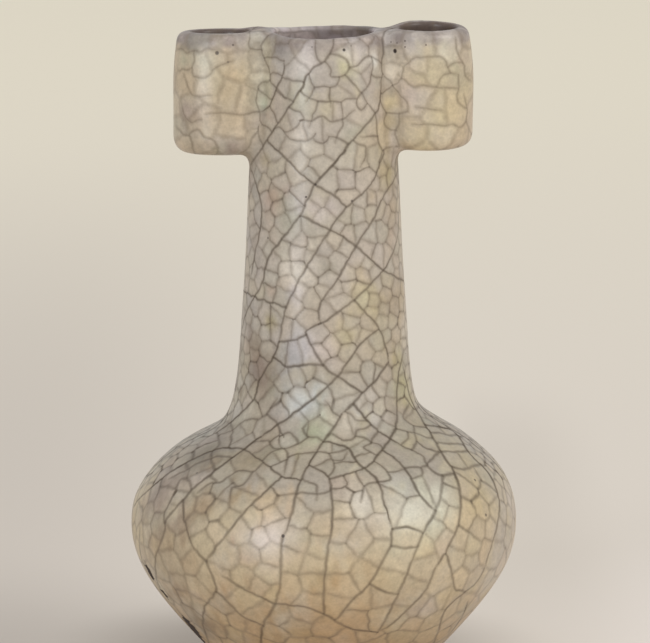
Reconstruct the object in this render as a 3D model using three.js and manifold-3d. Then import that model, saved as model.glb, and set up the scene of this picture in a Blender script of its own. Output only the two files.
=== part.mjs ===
// A stoneware vase with a long neck, a low round belly and two tubular lugs level with its mouth.
// A potter makes it in six sections, each thrown or rolled on its own and luted to the next with slip:
// foot ring, lower body, upper body, neck, and one lug tube on each side of the neck.
// Millimetres, +Z up, the lugs along X. The origin is the middle of the foot ring, on the table.
import * as THREE from "three";
import { mergeVertices } from "three/addons/utils/BufferGeometryUtils.js";
import Module from "manifold-3d";

const solids = await Module();
solids.setup();

// Heights of the four sections that stand on each other
const footHeight = 4.6;
const lowerBodyHeight = 33;
const upperBodyHeight = 29.4;
const neckHeight = 79;

// Radii of the outside
const footRadius = 20.6;
const bodyFootRadius = 21.4;
const bellyRadius = 42.5;
const neckRootRadius = 19.75;
const rimRadius = 13.5;

// The shoulder turns from convex to concave at this ring, below the neck root
const shoulderRadius = 28.6;
const shoulderDrop = 9.9;
const shoulderSlope = 1.72;

// How far each curve keeps its end's direction, as a handle of a cubic curve
const bodyFootHandle = 16;
const bodyFootSlope = 0.92;
const bellyHandleBelow = 9.8;
const bellyHandleAbove = 4.7;
const shoulderHandleBelow = 7.9;
const shoulderHandleAbove = 1.4;
const neckRootHandle = 5.7;
const neckRootSlope = 0.108;
const neckHandle = 38;
const rimSlope = 0.128;

// Walls
const wallThickness = 2.8;
const lipThickness = 1.9;
const floorThickness = 3.2;
const floorRounding = 5;
const floorRise = 1.7;
const footWidth = 3.4;
const footTaper = 0.5;
const footEdge = 0.7;

// The lug tubes, oval in plan, each with a bore that narrows towards its lower end
const lugLength = 26.2;
const lugRadius = 10.4;
const lugDepthShare = 0.93;
const lugTopInset = 0.5;
const lugBoreTop = 6;
const lugBoreFoot = 5;
const lugSpan = 66;
const lugTopRound = 1.5;
const lugBoreRound = 0.8;
const lugFootRoundAcross = 3.4;
const lugFootRoundUp = 5;

// The potter set the two tubes by eye: how far each one stands above the mouth, and how it leans to the front
const lugs = [
  { name: "left_lug", side: -1, rise: 0.2, lean: -2 },
  { name: "right_lug", side: 1, rise: 1.2, lean: 3 },
];

// The pad of clay that lutes a tube to the neck, and the layer of slip that stays between them
const padHalfWidth = 7.4;
const padWaist = 1.4;
const padDepthShare = 0.7;
const padInset = 1;
const padFillet = 3;
const padTongue = 7;
const padSetback = 0.5;
const slipLayer = 0.3;

// How finely round shapes are divided
const bodySegments = 56;
const lugSegments = 32;
const bodySteps = 7;
const shoulderSteps = 5;
const neckSteps = 6;
const arcSteps = 3;
const readingSteps = 200;

// Heights that follow from the sections
const bellyLevel = footHeight + lowerBodyHeight;
const neckLevel = bellyLevel + upperBodyHeight;
const rimLevel = neckLevel + neckHeight;
const shoulderLevel = neckLevel - shoulderDrop;
const lugOffset = lugSpan / 2 - lugRadius;

const glazed = { color: 0xbdb1a0, roughness: 0.32, metalness: 0 };
const bareClay = { color: 0x4a3328, roughness: 0.85, metalness: 0 };

// A profile curve between two rings: start and end are [radius, height], the handles follow each end's slope,
// which is the change of radius for each millimetre up
function profileCurve(start, startSlope, startHandle, end, endSlope, endHandle) {
  const [startRadius, startLevel] = start;
  const [endRadius, endLevel] = end;
  return new THREE.CubicBezierCurve(
    new THREE.Vector2(startRadius, startLevel),
    new THREE.Vector2(startRadius + startSlope * startHandle, startLevel + startHandle),
    new THREE.Vector2(endRadius - endSlope * endHandle, endLevel - endHandle),
    new THREE.Vector2(endRadius, endLevel),
  );
}

const lowerBodyCurve = profileCurve(
  [bodyFootRadius, footHeight], bodyFootSlope, bodyFootHandle,
  [bellyRadius, bellyLevel], 0, bellyHandleBelow,
);
const bellyToShoulder = profileCurve(
  [bellyRadius, bellyLevel], 0, bellyHandleAbove,
  [shoulderRadius, shoulderLevel], -shoulderSlope, shoulderHandleBelow,
);
const shoulderToNeck = profileCurve(
  [shoulderRadius, shoulderLevel], -shoulderSlope, shoulderHandleAbove,
  [neckRootRadius, neckLevel], -neckRootSlope, neckRootHandle,
);
const neckCurve = profileCurve(
  [neckRootRadius, neckLevel], -neckRootSlope, neckHandle,
  [rimRadius, rimLevel], -rimSlope, neckHandle,
);

// Outside points of a run of curves from the bottom up
function outsidePoints(curves, steps) {
  return curves.flatMap((curve, i) => curve.getPoints(steps).slice(i ? 1 : 0));
}

// The same run offset inwards, square to the curve. thicknessAt gives the wall at a share of the run's height.
// The first and last points keep their height, so that the faces where sections meet are flat.
function insidePoints(curves, steps, thicknessAt) {
  const points = [];
  const bottom = curves[0].v0.y;
  const top = curves.at(-1).v3.y;
  for (const [i, curve] of curves.entries()) {
    for (let k = i ? 1 : 0; k <= steps; k++) {
      const point = curve.getPoint(k / steps);
      const along = curve.getTangent(k / steps);
      const wall = thicknessAt((point.y - bottom) / (top - bottom));
      const atEnd = point.y === bottom || point.y === top;
      points.push(
        atEnd
          ? new THREE.Vector2(point.x - wall, point.y)
          : new THREE.Vector2(point.x - wall * along.y, point.y + wall * along.x),
      );
    }
  }
  return points;
}

// A solid of revolution about the vertical axis, from a closed run of [radius, height] points
function turned(points, segments) {
  const geometry = new THREE.LatheGeometry(points, segments);
  geometry.rotateX(Math.PI / 2);
  return geometry;
}

function closed(points) {
  return [...points, points[0].clone()];
}

// A closed mesh as a solid that can be cut and joined, and back
function toSolid(geometry) {
  const bare = geometry.clone();
  bare.deleteAttribute("normal");
  bare.deleteAttribute("uv");
  const merged = mergeVertices(bare.index ? bare.toNonIndexed() : bare, 1e-4);
  return new solids.Manifold(
    new solids.Mesh({
      numProp: 3,
      vertProperties: merged.getAttribute("position").array,
      triVerts: new Uint32Array(merged.index.array),
    }),
  );
}

function toGeometry(solid) {
  const mesh = solid.getMesh();
  const geometry = new THREE.BufferGeometry();
  geometry.setAttribute("position", new THREE.BufferAttribute(mesh.vertProperties, 3));
  geometry.setIndex(new THREE.BufferAttribute(mesh.triVerts, 1));
  const faceted = geometry.toNonIndexed();
  faceted.computeVertexNormals();
  return faceted;
}

// The foot ring: a low band, a little narrower at the table, with both lower edges eased
function footRing() {
  const innerRadius = footRadius - footWidth;
  const outline = new THREE.Path();
  outline.moveTo(innerRadius, footHeight);
  outline.lineTo(innerRadius, footEdge);
  outline.lineTo(innerRadius + footEdge, 0);
  outline.lineTo(footRadius - footTaper - footEdge, 0);
  outline.lineTo(footRadius - footTaper, footEdge);
  outline.lineTo(footRadius, footHeight);
  return turned(closed(outline.getPoints()), bodySegments);
}

// The lower body: a bowl with a flat underside, thrown with its floor
function lowerBody() {
  const floorLevel = footHeight + floorThickness;
  const outside = outsidePoints([lowerBodyCurve], bodySteps);
  const inside = insidePoints([lowerBodyCurve], bodySteps, () => wallThickness)
    .filter((point) => point.y > floorLevel + floorRise)
    .reverse();
  const floorEdge = inside.at(-1).x - floorRounding;
  return turned(
    [
      new THREE.Vector2(0, footHeight),
      ...outside,
      ...inside,
      new THREE.Vector2(floorEdge, floorLevel),
      new THREE.Vector2(0, floorLevel),
    ],
    bodySegments,
  );
}

// The upper body: from the widest ring over the shoulder to the root of the neck
function upperBody() {
  const curves = [bellyToShoulder, shoulderToNeck];
  const outside = outsidePoints(curves, shoulderSteps);
  const inside = insidePoints(curves, shoulderSteps, () => wallThickness).reverse();
  return turned(closed([...outside, ...inside]), bodySegments);
}

// The neck: a long taper that thins towards a rounded lip
function neckWall(share) {
  return THREE.MathUtils.lerp(wallThickness, lipThickness, share);
}

function neck() {
  const outside = outsidePoints([neckCurve], neckSteps);
  const inside = insidePoints([neckCurve], neckSteps, neckWall).reverse();
  const halfLip = lipThickness / 2;
  const lip = new THREE.Path();
  lip.absarc(rimRadius - halfLip, rimLevel - halfLip, halfLip, 0, Math.PI, false);
  return turned(
    closed([...outside.slice(0, -1), ...lip.getPoints(arcSteps), ...inside.slice(1)]),
    bodySegments,
  );
}

// What a lug is cut back by: the outside of the neck, one layer of slip larger, carried on past the rim
function neckWithSlip() {
  const outside = outsidePoints([neckCurve], neckSteps);
  const grown = outside.map((point) => new THREE.Vector2(point.x + slipLayer, point.y));
  const above = rimLevel + lugLength;
  return toSolid(
    turned(
      [
        new THREE.Vector2(0, neckLevel),
        ...grown,
        new THREE.Vector2(rimRadius + slipLayer, above),
        new THREE.Vector2(0, above),
      ],
      bodySegments,
    ),
  );
}

// One tube about its own axis, its lower end at height 0: a rounded lip above, a fuller rounding below
function lugTube() {
  const topRadius = lugRadius - lugTopInset;
  const footRadiusOfLug = lugRadius - lugFootRoundAcross;
  const wall = new THREE.Path();
  wall.absellipse(
    footRadiusOfLug, lugFootRoundUp, lugFootRoundAcross, lugFootRoundUp, -Math.PI / 2, 0, false,
  );
  wall.lineTo(lugRadius, lugLength / 2);
  wall.absarc(topRadius - lugTopRound, lugLength - lugTopRound, lugTopRound, 0, Math.PI / 2, false);
  wall.absarc(
    lugBoreTop + lugBoreRound, lugLength - lugBoreRound, lugBoreRound, Math.PI / 2, Math.PI, false,
  );
  wall.absarc(
    lugBoreFoot + lugBoreRound, lugBoreRound, lugBoreRound, Math.PI, (3 * Math.PI) / 2, false,
  );
  const geometry = turned(closed(wall.getPoints(arcSteps)), lugSegments);
  geometry.scale(1, lugDepthShare, 1);
  return toSolid(geometry);
}

// The bore's cone, one setback larger, so that the pad stays inside the tube's wall
function lugBoreClearance() {
  const geometry = new THREE.CylinderGeometry(
    lugBoreTop + padSetback, lugBoreFoot + padSetback, lugLength + 2 * padFillet, lugSegments,
  );
  geometry.rotateX(Math.PI / 2);
  geometry.scale(1, lugDepthShare, 1);
  geometry.translate(0, 0, lugLength / 2);
  return toSolid(geometry);
}

// The pad between a tube and the neck: what an outline seen from the front, a block with a fillet down onto
// the neck, shares with an outline seen from above, which is waisted where the tube meets the neck, and with
// one seen from the side, which ends in a round tongue below.
// It reaches from inside the neck, where it is cut back later, to inside the tube's wall.
function lugPad(side) {
  const tubeEdge = -side * lugBoreTop;
  const neckFace = -side * (lugOffset - neckRadiusAt(rimLevel - lugLength) - slipLayer);
  const deep = -side * lugOffset * padDepthShare;
  const front = new THREE.Shape();
  front.moveTo(tubeEdge, lugLength - padInset);
  front.lineTo(deep, lugLength - padInset);
  front.lineTo(deep, -padFillet);
  front.lineTo(neckFace, -padFillet);
  front.quadraticCurveTo(neckFace, 0, neckFace + side * padFillet, 0);
  front.lineTo(tubeEdge, 0);
  front.closePath();
  const reach = 2 * lugRadius;
  const frontBlock = new THREE.ExtrudeGeometry(front, {
    depth: 2 * reach,
    bevelEnabled: false,
    curveSegments: arcSteps,
  });
  frontBlock.rotateX(Math.PI / 2);
  frontBlock.translate(0, reach, 0);

  const plan = new THREE.Shape();
  const waist = (tubeEdge + deep) / 2;
  plan.moveTo(tubeEdge, padHalfWidth);
  plan.quadraticCurveTo(waist, padHalfWidth - padWaist, deep, padHalfWidth + padWaist);
  plan.lineTo(deep, -padHalfWidth - padWaist);
  plan.quadraticCurveTo(waist, -padHalfWidth + padWaist, tubeEdge, -padHalfWidth);
  plan.closePath();
  const planBlock = new THREE.ExtrudeGeometry(plan, {
    depth: 2 * lugLength,
    bevelEnabled: false,
    curveSegments: arcSteps,
  });
  planBlock.translate(0, 0, -lugLength / 2);

  const halfWidth = padHalfWidth + padWaist;
  const tongue = new THREE.Shape();
  tongue.moveTo(-halfWidth, lugLength);
  tongue.lineTo(-halfWidth, padTongue - padFillet);
  tongue.absellipse(
    0, padTongue - padFillet, halfWidth, padTongue, Math.PI, 2 * Math.PI, false,
  );
  tongue.lineTo(halfWidth, lugLength);
  tongue.closePath();
  const tongueBlock = new THREE.ExtrudeGeometry(tongue, {
    depth: 2 * lugOffset,
    bevelEnabled: false,
    curveSegments: 2 * arcSteps,
  });
  tongueBlock.translate(0, 0, -lugOffset);
  tongueBlock.rotateX(Math.PI / 2);
  tongueBlock.rotateZ(Math.PI / 2);
  return toSolid(frontBlock).intersect(toSolid(planBlock)).intersect(toSolid(tongueBlock));
}

// The neck's outside radius at a height
function neckRadiusAt(level) {
  const points = neckCurve.getPoints(readingSteps);
  const nearest = points.reduce((a, b) => (Math.abs(b.y - level) < Math.abs(a.y - level) ? b : a));
  return nearest.x;
}

function lug({ side, rise, lean }) {
  const raised = lugTube().add(lugPad(side).subtract(lugBoreClearance()));
  const placed = raised
    .translate([0, 0, -lugLength / 2])
    .rotate([lean, 0, 0])
    .translate([side * lugOffset, 0, rimLevel + rise - lugLength / 2]);
  return toGeometry(placed.subtract(neckWithSlip()));
}

function named(name, geometry, finish) {
  const mesh = new THREE.Mesh(geometry, new THREE.MeshStandardMaterial(finish));
  mesh.name = name;
  return mesh;
}

const vase = new THREE.Group();
vase.add(named("foot_ring", footRing(), bareClay));
vase.add(named("lower_body", lowerBody(), glazed));
vase.add(named("upper_body", upperBody(), glazed));
vase.add(named("neck", neck(), glazed));
for (const tube of lugs) {
  vase.add(named(tube.name, lug(tube), glazed));
}

export default vase;
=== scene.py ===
# %% [markdown]
# # A crackle-glazed vase with two tubular lugs
# The real vase is stoneware: a low belly, a long neck, and a plain tube of clay on each side of the mouth.
# Its whole look is its glaze, a satin grey-beige coat that shrank more than the clay and cracked all over.
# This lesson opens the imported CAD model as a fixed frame, makes the glazed skin over it, grows the net of
# cracks on that skin, and finishes with the materials, the light and the camera.

# %% Open the frame
import math

import bpy
import numpy as np
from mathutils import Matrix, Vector
from mathutils.bvhtree import BVHTree
from mathutils.kdtree import KDTree


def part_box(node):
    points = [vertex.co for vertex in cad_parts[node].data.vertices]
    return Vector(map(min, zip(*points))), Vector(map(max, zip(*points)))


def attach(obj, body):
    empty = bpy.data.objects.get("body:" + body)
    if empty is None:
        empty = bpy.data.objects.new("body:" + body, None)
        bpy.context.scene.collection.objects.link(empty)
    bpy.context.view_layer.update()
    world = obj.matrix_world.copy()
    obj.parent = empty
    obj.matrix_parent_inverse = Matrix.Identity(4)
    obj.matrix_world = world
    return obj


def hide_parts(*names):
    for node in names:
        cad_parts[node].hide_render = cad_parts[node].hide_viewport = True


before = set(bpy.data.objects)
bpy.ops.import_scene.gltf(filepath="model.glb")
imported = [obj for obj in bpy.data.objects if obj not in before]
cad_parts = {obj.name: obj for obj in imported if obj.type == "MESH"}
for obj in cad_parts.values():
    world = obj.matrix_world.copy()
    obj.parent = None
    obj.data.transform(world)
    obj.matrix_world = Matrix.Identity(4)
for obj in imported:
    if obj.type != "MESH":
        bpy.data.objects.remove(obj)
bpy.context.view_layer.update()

mm = 0.001

# %% [markdown]
# ## The camera
# The photograph was taken from about a metre away with a long lens, looking a little down on the mouth.
# How wide the mouth's ellipse stands open gives the angle, and the vase's height in pixels gives the lens.
# The vase stands a pixel and a half left of the middle, so the camera stands a little to the right.

# %% Place the camera
photo_width, photo_height = 650, 643
focal_pixels = 5078.5
sensor_width = 36.0
camera_reach = 1100 * mm
camera_level = 277.75 * mm
camera_aside = 0.24 * mm
camera_dip = math.radians(10.086)

camera_data = bpy.data.cameras.new("camera")
camera_data.sensor_width = sensor_width
camera_data.lens = focal_pixels * sensor_width / photo_width
camera_data.clip_start = 50 * mm
camera_data.clip_end = 50.0
camera = bpy.data.objects.new("camera", camera_data)
camera.location = (camera_aside, -camera_reach, camera_level)
camera.rotation_euler = (math.pi / 2 - camera_dip, 0, 0)
bpy.context.scene.collection.objects.link(camera)
bpy.context.scene.camera = camera


def sight_line(pixel):
    """The direction from the camera through a pixel of the photograph: the pixel's place on a picture
    plane one focal length away, turned down by the camera's dip."""
    across = (pixel[0] - photo_width / 2) / focal_pixels
    up = -(pixel[1] - photo_height / 2) / focal_pixels
    forward = Vector((0, math.cos(camera_dip), -math.sin(camera_dip)))
    upward = Vector((0, math.sin(camera_dip), math.cos(camera_dip)))
    return (forward + Vector((1, 0, 0)) * across + upward * up).normalized()


print("lens in mm:", round(camera_data.lens, 1))

# %% [markdown]
# ## The curve of the wall
# The skin follows the CAD model, so its curve is read from the frame: each turned node is a stack of rings,
# and faces that look away from the axis are its outside. A natural cubic spline through the rings gives a
# wall with no corners. A potter's wall is never a true circle, so a small warp is added: the photograph
# shows the shoulder fuller and higher on its right.


# %% Read the rings and run a spline through them
def column(items, name, width, kind=np.float32):
    """One property of every vertex, face or corner, as an array with a row for each."""
    values = np.empty(len(items) * width, kind)
    items.foreach_get(name, values)
    return values.reshape(-1, width).astype(float if kind is np.float32 else np.int64)


def rings(node, side, top):
    """Heights and radii of the rings on the outside (side 1) or inside (side -1) of a turned node, up to a
    height. A face is on that side where its normal points away from the axis, or towards it."""
    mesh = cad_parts[node].data
    places = column(mesh.vertices, "co", 3)
    index = column(mesh.loops, "vertex_index", 1, np.int32)[:, 0].reshape(-1, 3)
    corners = places[index]
    middle = corners.mean(1)
    normal = np.cross(corners[:, 1] - corners[:, 0], corners[:, 2] - corners[:, 0])
    normal /= np.linalg.norm(normal, axis=1, keepdims=True) + 1e-20
    outward = (normal[:, :2] * middle[:, :2]).sum(1) / (np.hypot(middle[:, 0], middle[:, 1]) + 1e-9)
    found = corners[outward * side > 0.05].reshape(-1, 3)
    found = found[found[:, 2] <= top]
    heights = np.round(found[:, 2], 6)
    levels = np.unique(heights)
    radii = np.array([np.hypot(*found[heights == level, :2].T).max() for level in levels])
    return levels, radii


class Curve:
    """A natural cubic spline through radii at heights. Its second derivatives solve one linear system, and
    past its ends it goes on straight."""

    def __init__(self, heights, radii):
        self.z, self.r = heights, radii
        gap = np.diff(heights)
        count = len(heights)
        system = np.eye(count)
        right = np.zeros(count)
        for k in range(1, count - 1):
            system[k, k - 1 : k + 2] = gap[k - 1], 2 * (gap[k - 1] + gap[k]), gap[k]
            right[k] = 6 * ((radii[k + 1] - radii[k]) / gap[k] - (radii[k] - radii[k - 1]) / gap[k - 1])
        self.bend = np.linalg.solve(system, right)

    def __call__(self, height):
        z, r, bend = self.z, self.r, self.bend
        height = np.asarray(height, float)
        held = np.clip(height, z[0], z[-1])
        k = np.clip(np.searchsorted(z, held, side="right") - 1, 0, len(z) - 2)
        gap = z[k + 1] - z[k]
        b = (held - z[k]) / gap
        a = 1 - b
        radius = a * r[k] + b * r[k + 1] + ((a**3 - a) * bend[k] + (b**3 - b) * bend[k + 1]) * gap**2 / 6
        slope = (r[k + 1] - r[k]) / gap + ((1 - 3 * a**2) * bend[k] + (3 * b**2 - 1) * bend[k + 1]) * gap / 6
        return radius + slope * (height - held)


foot_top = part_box("foot_ring")[1].z
belly_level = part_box("lower_body")[1].z
neck_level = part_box("upper_body")[1].z
rim_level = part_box("neck")[1].z
body_wall = 2.8 * mm
lip_wall = 1.9 * mm
lip_start = rim_level - lip_wall / 2 + 0.01 * mm

turned = {"lower_body": belly_level, "upper_body": neck_level, "neck": lip_start}
heights, radii = map(np.concatenate, zip(*(rings(node, 1, top) for node, top in turned.items())))
heights, first = np.unique(np.round(heights, 6), return_index=True)
outside = Curve(heights, radii[first])
bore = Curve(*rings("neck", -1, lip_start))
print("outside rings:", len(heights), "belly radius in mm:", round(float(outside(belly_level)) / mm, 2))


# %% The hand's warp
def warp(angle, height):
    """How far the thrown wall stands off its true circle: the neck was set a little askew, which lifts
    the shoulder on the right and lowers it on the left, and two slow waves die out at the foot."""
    shoulder_swell = 1.55 * mm * np.exp(-(((height - 58.6 * mm) / (3.6 * mm)) ** 2))
    body_swell = 0.85 * mm * np.exp(-(((height - 52 * mm) / (7 * mm)) ** 2))
    belly_dip = 0.25 * mm * np.exp(-(((height - 47 * mm) / (6 * mm)) ** 2))
    oval = 0.10 * mm * np.sin(2 * angle + 1.1 + height / (31 * mm))
    triple = 0.06 * mm * np.sin(3 * angle + 0.4 - height / (17 * mm))
    grown = np.clip((height - foot_top) / (12 * mm), 0, 1)
    return (shoulder_swell + body_swell) * np.cos(angle) - belly_dip + (oval + triple) * grown


def wall_gap(places):
    """How far places lie outside the wall, measured level: radius less the curve less the warp."""
    x, y, z = places[:, 0], places[:, 1], places[:, 2]
    return np.hypot(x, y) - outside(z) - warp(np.arctan2(y, x), z)


def slope_of(distance, places, reach=0.02 * mm):
    """The direction in which a distance function grows, by its difference over a short reach each way."""
    steps = np.eye(3) * reach
    return np.stack([distance(places + s) - distance(places - s) for s in steps], 1) / (2 * reach)


def unit(vectors):
    """Vectors scaled to length one."""
    return vectors / (np.linalg.norm(vectors, axis=-1, keepdims=True) + 1e-20)


# %% [markdown]
# ## The two bowls of the body
# The body was thrown as two bowls and luted at its widest ring, and the frame keeps them as two nodes.
# Each becomes a grid: rows follow its section up the outside and back down the inside, columns go round.
# Rows lie half a millimetre apart outside, where the cracks show, and wider inside. The normals outside
# come from the wall's formula, so the ring where two pieces meet doesn't show.


# %% Grids that are turned round the axis
calm_radius = 12 * mm
on_axis_radius = 1e-6


def even_levels(curve, low, high, spacing):
    """Heights from low to high whose points lie equally far apart along a curve."""
    fine = np.linspace(low, high, 2000)
    run = np.concatenate([[0], np.cumsum(np.hypot(np.diff(curve(fine)), np.diff(fine)))])
    count = max(2, int(round(run[-1] / spacing)) + 1)
    return np.interp(np.linspace(0, run[-1], count), run, fine)


def inner_section(low, high, wall, spacing):
    """Radii and heights of the inside: the outside's points moved in by the wall, square to the curve, with
    the first and last kept level."""
    levels = even_levels(outside, low, high, spacing)
    slope = (outside(levels + 0.05 * mm) - outside(levels - 0.05 * mm)) / (0.1 * mm)
    length = np.hypot(slope, 1)
    radius = outside(levels) - wall / length
    height = levels + wall * slope / length
    radius[[0, -1]] = outside(levels[[0, -1]]) - wall
    height[[0, -1]] = levels[[0, -1]]
    return radius, height


def turn_bands(bands, columns):
    """Vertices, faces and corner normals of a closed skin of bands turned round the axis. Each band is
    (radii, heights, kind): its last row is the next band's first. A band that starts or ends on the axis
    closes there in a pole, and near the axis the warp dies out. Kind "wall" takes its normals from the
    wall's formula, others from the band."""
    angles = np.linspace(0, 2 * np.pi, columns, endpoint=False)
    cos, sin = np.cos(angles), np.sin(angles)
    rows, faces, normals, kinds = [], [], [], []
    start = 0
    looped = bands[0][0][0] > on_axis_radius
    for number, (radius, height, kind) in enumerate(bands):
        held = np.minimum(1, radius / calm_radius)[:, None]
        level = np.repeat(height[:, None], columns, 1)
        across = radius[:, None] + held * warp(angles[None, :], level)
        grid = np.stack([across * cos, across * sin, level], -1)
        if kind == "wall":
            facing = unit(slope_of(wall_gap, grid.reshape(-1, 3))).reshape(grid.shape)
        else:
            along = np.gradient(grid, axis=0)
            around = (np.roll(grid, -1, 1) - np.roll(grid, 1, 1)) / 2
            facing = unit(np.cross(around, along))
            pole = radius < on_axis_radius
            facing[pole] = np.array([0, 0, np.sign(facing[~pole][:, :, 2].sum()) or 1])
        skip = 1 if number else 0
        rows.append(grid[skip:])
        count = len(radius)
        low = start + np.arange(count - 1)[:, None] * columns + np.arange(columns)[None, :]
        turn = np.roll(np.arange(columns), -1)
        low_next = start + np.arange(count - 1)[:, None] * columns + turn[None, :]
        quads = np.stack([low, low_next, low_next + columns, low + columns], -1)
        ahead = np.roll(facing, -1, 1)
        band_normals = np.stack([facing[:-1], ahead[:-1], ahead[1:], facing[1:]], 2)
        faces.append(quads.reshape(-1, 4))
        normals.append(band_normals.reshape(-1, 4, 3))
        kinds.append(np.full(len(faces[-1]), number))
        start += (count - 1) * columns
    places = np.concatenate(rows).reshape(-1, 3)
    faces, normals, kinds = np.concatenate(faces), np.concatenate(normals), np.concatenate(kinds)
    if looped:
        faces[faces >= start] -= start
        places = places[:start]
    # All the corners that meet on the axis become one vertex
    on_axis = np.nonzero(np.hypot(places[:, 0], places[:, 1]) < on_axis_radius)[0]
    alias = np.arange(len(places))
    alias[on_axis] = on_axis - on_axis % columns
    used, faces = np.unique(alias[faces], return_inverse=True)
    return places[used], faces.reshape(-1, 4), normals, kinds


def make_piece(name, places, faces, normals):
    """A mesh object from vertices, four-cornered faces and a normal for each face corner. A face with two
    corners on the same vertex, as at a pole, becomes a triangle."""
    keep = faces != np.roll(faces, -1, 1)
    sizes = keep.sum(1)
    index = faces[keep]
    mesh = bpy.data.meshes.new(name)
    mesh.vertices.add(len(places))
    mesh.vertices.foreach_set("co", places.astype(np.float32).ravel())
    mesh.loops.add(len(index))
    mesh.loops.foreach_set("vertex_index", index.astype(np.int32))
    mesh.polygons.add(len(faces))
    mesh.polygons.foreach_set("loop_start", np.concatenate([[0], np.cumsum(sizes)[:-1]]).astype(np.int32))
    mesh.polygons.foreach_set("loop_total", sizes.astype(np.int32))
    mesh.polygons.foreach_set("use_smooth", np.ones(len(faces), bool))
    mesh.update(calc_edges=True)
    mesh.validate()
    mesh.normals_split_custom_set(normals[keep].astype(np.float32))
    piece = bpy.data.objects.new(name, mesh)
    bpy.context.scene.collection.objects.link(piece)
    return piece, keep


print("grids ready")

# %% Make the two bowls
spacing, inner_spacing = 0.5 * mm, 1.5 * mm
columns = 540
floor_level = foot_top + 3.2 * mm
floor_rounding = 5 * mm
ring_share = np.linspace(0, 1, 5)


def ring_face(outer, inner, level):
    """The flat face between two radii at one height."""
    return outer + (inner - outer) * ring_share, np.full(len(ring_share), level), "flat"


def lower_bowl():
    """Underside from the axis out, the outside up, the flat joint, the inside down, and the floor."""
    under = np.linspace(0, float(outside(foot_top)), 22)
    levels = even_levels(outside, foot_top, belly_level, spacing)
    radius, height = inner_section(foot_top, belly_level, body_wall, inner_spacing)
    keep = height > floor_level + floor_rounding * 0.45
    radius, height = radius[keep][::-1], height[keep][::-1]
    turn = np.linspace(0, 1, 9)[1:]
    edge_radius, edge_height = radius[-1], height[-1]
    # The last of the wall runs into the floor on a quarter of an ellipse
    down = edge_radius - floor_rounding * (1 - np.cos(turn * np.pi / 2))
    drop = edge_height + (floor_level - edge_height) * np.sin(turn * np.pi / 2)
    inner = np.linspace(down[-1], 0, 18)[1:]
    radius = np.concatenate([radius, down, inner])
    height = np.concatenate([height, drop, np.full(len(inner), floor_level)])
    return [
        (under, np.full(len(under), foot_top), "flat"),
        (outside(levels), levels, "wall"),
        ring_face(float(outside(belly_level)), radius[0], belly_level),
        (radius, height, "inside"),
    ]


def upper_bowl():
    """The outside up to the root of the neck, the flat joint, the inside down, and the joint below."""
    levels = even_levels(outside, belly_level, neck_level, spacing)
    radius, height = inner_section(belly_level, neck_level, body_wall, inner_spacing)
    radius, height = radius[::-1], height[::-1]
    lower = ring_face(float(outside(belly_level)), radius[-1], belly_level)
    return [
        (outside(levels), levels, "wall"),
        ring_face(float(outside(neck_level)), radius[0], neck_level),
        (radius, height, "inside"),
        (lower[0][::-1], lower[1], "flat"),
    ]


skins = {}


def keep_skin(name, places, faces, normals, kinds):
    """Make a piece of a skin, and keep the skin's arrays for the cracks."""
    piece, keep = make_piece(name, places, faces, normals)
    skins[name] = {"piece": piece, "places": places, "faces": faces, "normals": normals}
    skins[name] |= {"kinds": kinds, "keep": keep}
    print(name, "faces:", len(faces))


keep_skin("lower_body_glaze", *turn_bands(lower_bowl(), columns))
keep_skin("upper_body_glaze", *turn_bands(upper_bowl(), columns))

# %% [markdown]
# ## Neck and lugs
# The potter luted the tubes to the neck and smoothed the joint with a wet finger, and the glaze filled it
# further, so no edge is left between them. That is a union of solids with a soft crease. A distance function
# says it best: how far a point lies outside the neck, outside each tube, above the top and inside a bore.
# A soft minimum joins the solids, a soft maximum cuts the top and the bores with rounded lips, and a mesh is
# laid where the function is zero.

# %% The distance function
lug_offset = 22.6 * mm
lug_depth_share = 0.93
lug_bore_top = 6.1 * mm
lug_bore_foot = 5.0 * mm
lug_top_inset = 1.25 * mm
# For each tube: the side of the vase, the height of its top over the rim, its lean to the front in degrees,
# its length, its radius and how far its lower edge is rounded
lug_sets = (
    (-1, 0.3 * mm, -2.0, 26.6 * mm, 10.35 * mm, 4.3 * mm),
    (1, 1.55 * mm, 3.0, 26.35 * mm, 9.95 * mm, 3.2 * mm),
)
crease = 3.6 * mm
lug_lip_round = 2.0 * mm
rim_round = 1.25 * mm
bore_round = 1.0 * mm
saddle_start, saddle_end = 13.0 * mm, 19.0 * mm
rim_rise = 0.9 * mm
rim_lift = 0.24 * mm
lip_gain = 0.6 * mm


def soft_min(a, b, reach):
    """The smaller of two distances, eased where they differ by less than reach."""
    near = np.clip(1 - np.abs(a - b) / reach, 0, None)
    return np.minimum(a, b) - near**2 * reach / 4


def soft_max(a, b, reach):
    """The larger of two distances, eased in the same way."""
    return -soft_min(-a, -b, reach)


def ease(low, high, value):
    """A share from 0 to 1 that starts and ends level."""
    t = np.clip((value - low) / (high - low), 0, 1)
    return t * t * (3 - 2 * t)


def tube_place(places, side, rise, lean, length):
    """Places in a tube's own frame, its middle at the origin and its axis upright: moved to the middle and
    turned back by the lean."""
    angle = math.radians(lean)
    x = places[:, 0] - side * lug_offset
    y, z = places[:, 1], places[:, 2] - (rim_level + rise - length / 2)
    return x, y * math.cos(angle) + z * math.sin(angle), z * math.cos(angle) - y * math.sin(angle)


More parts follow.
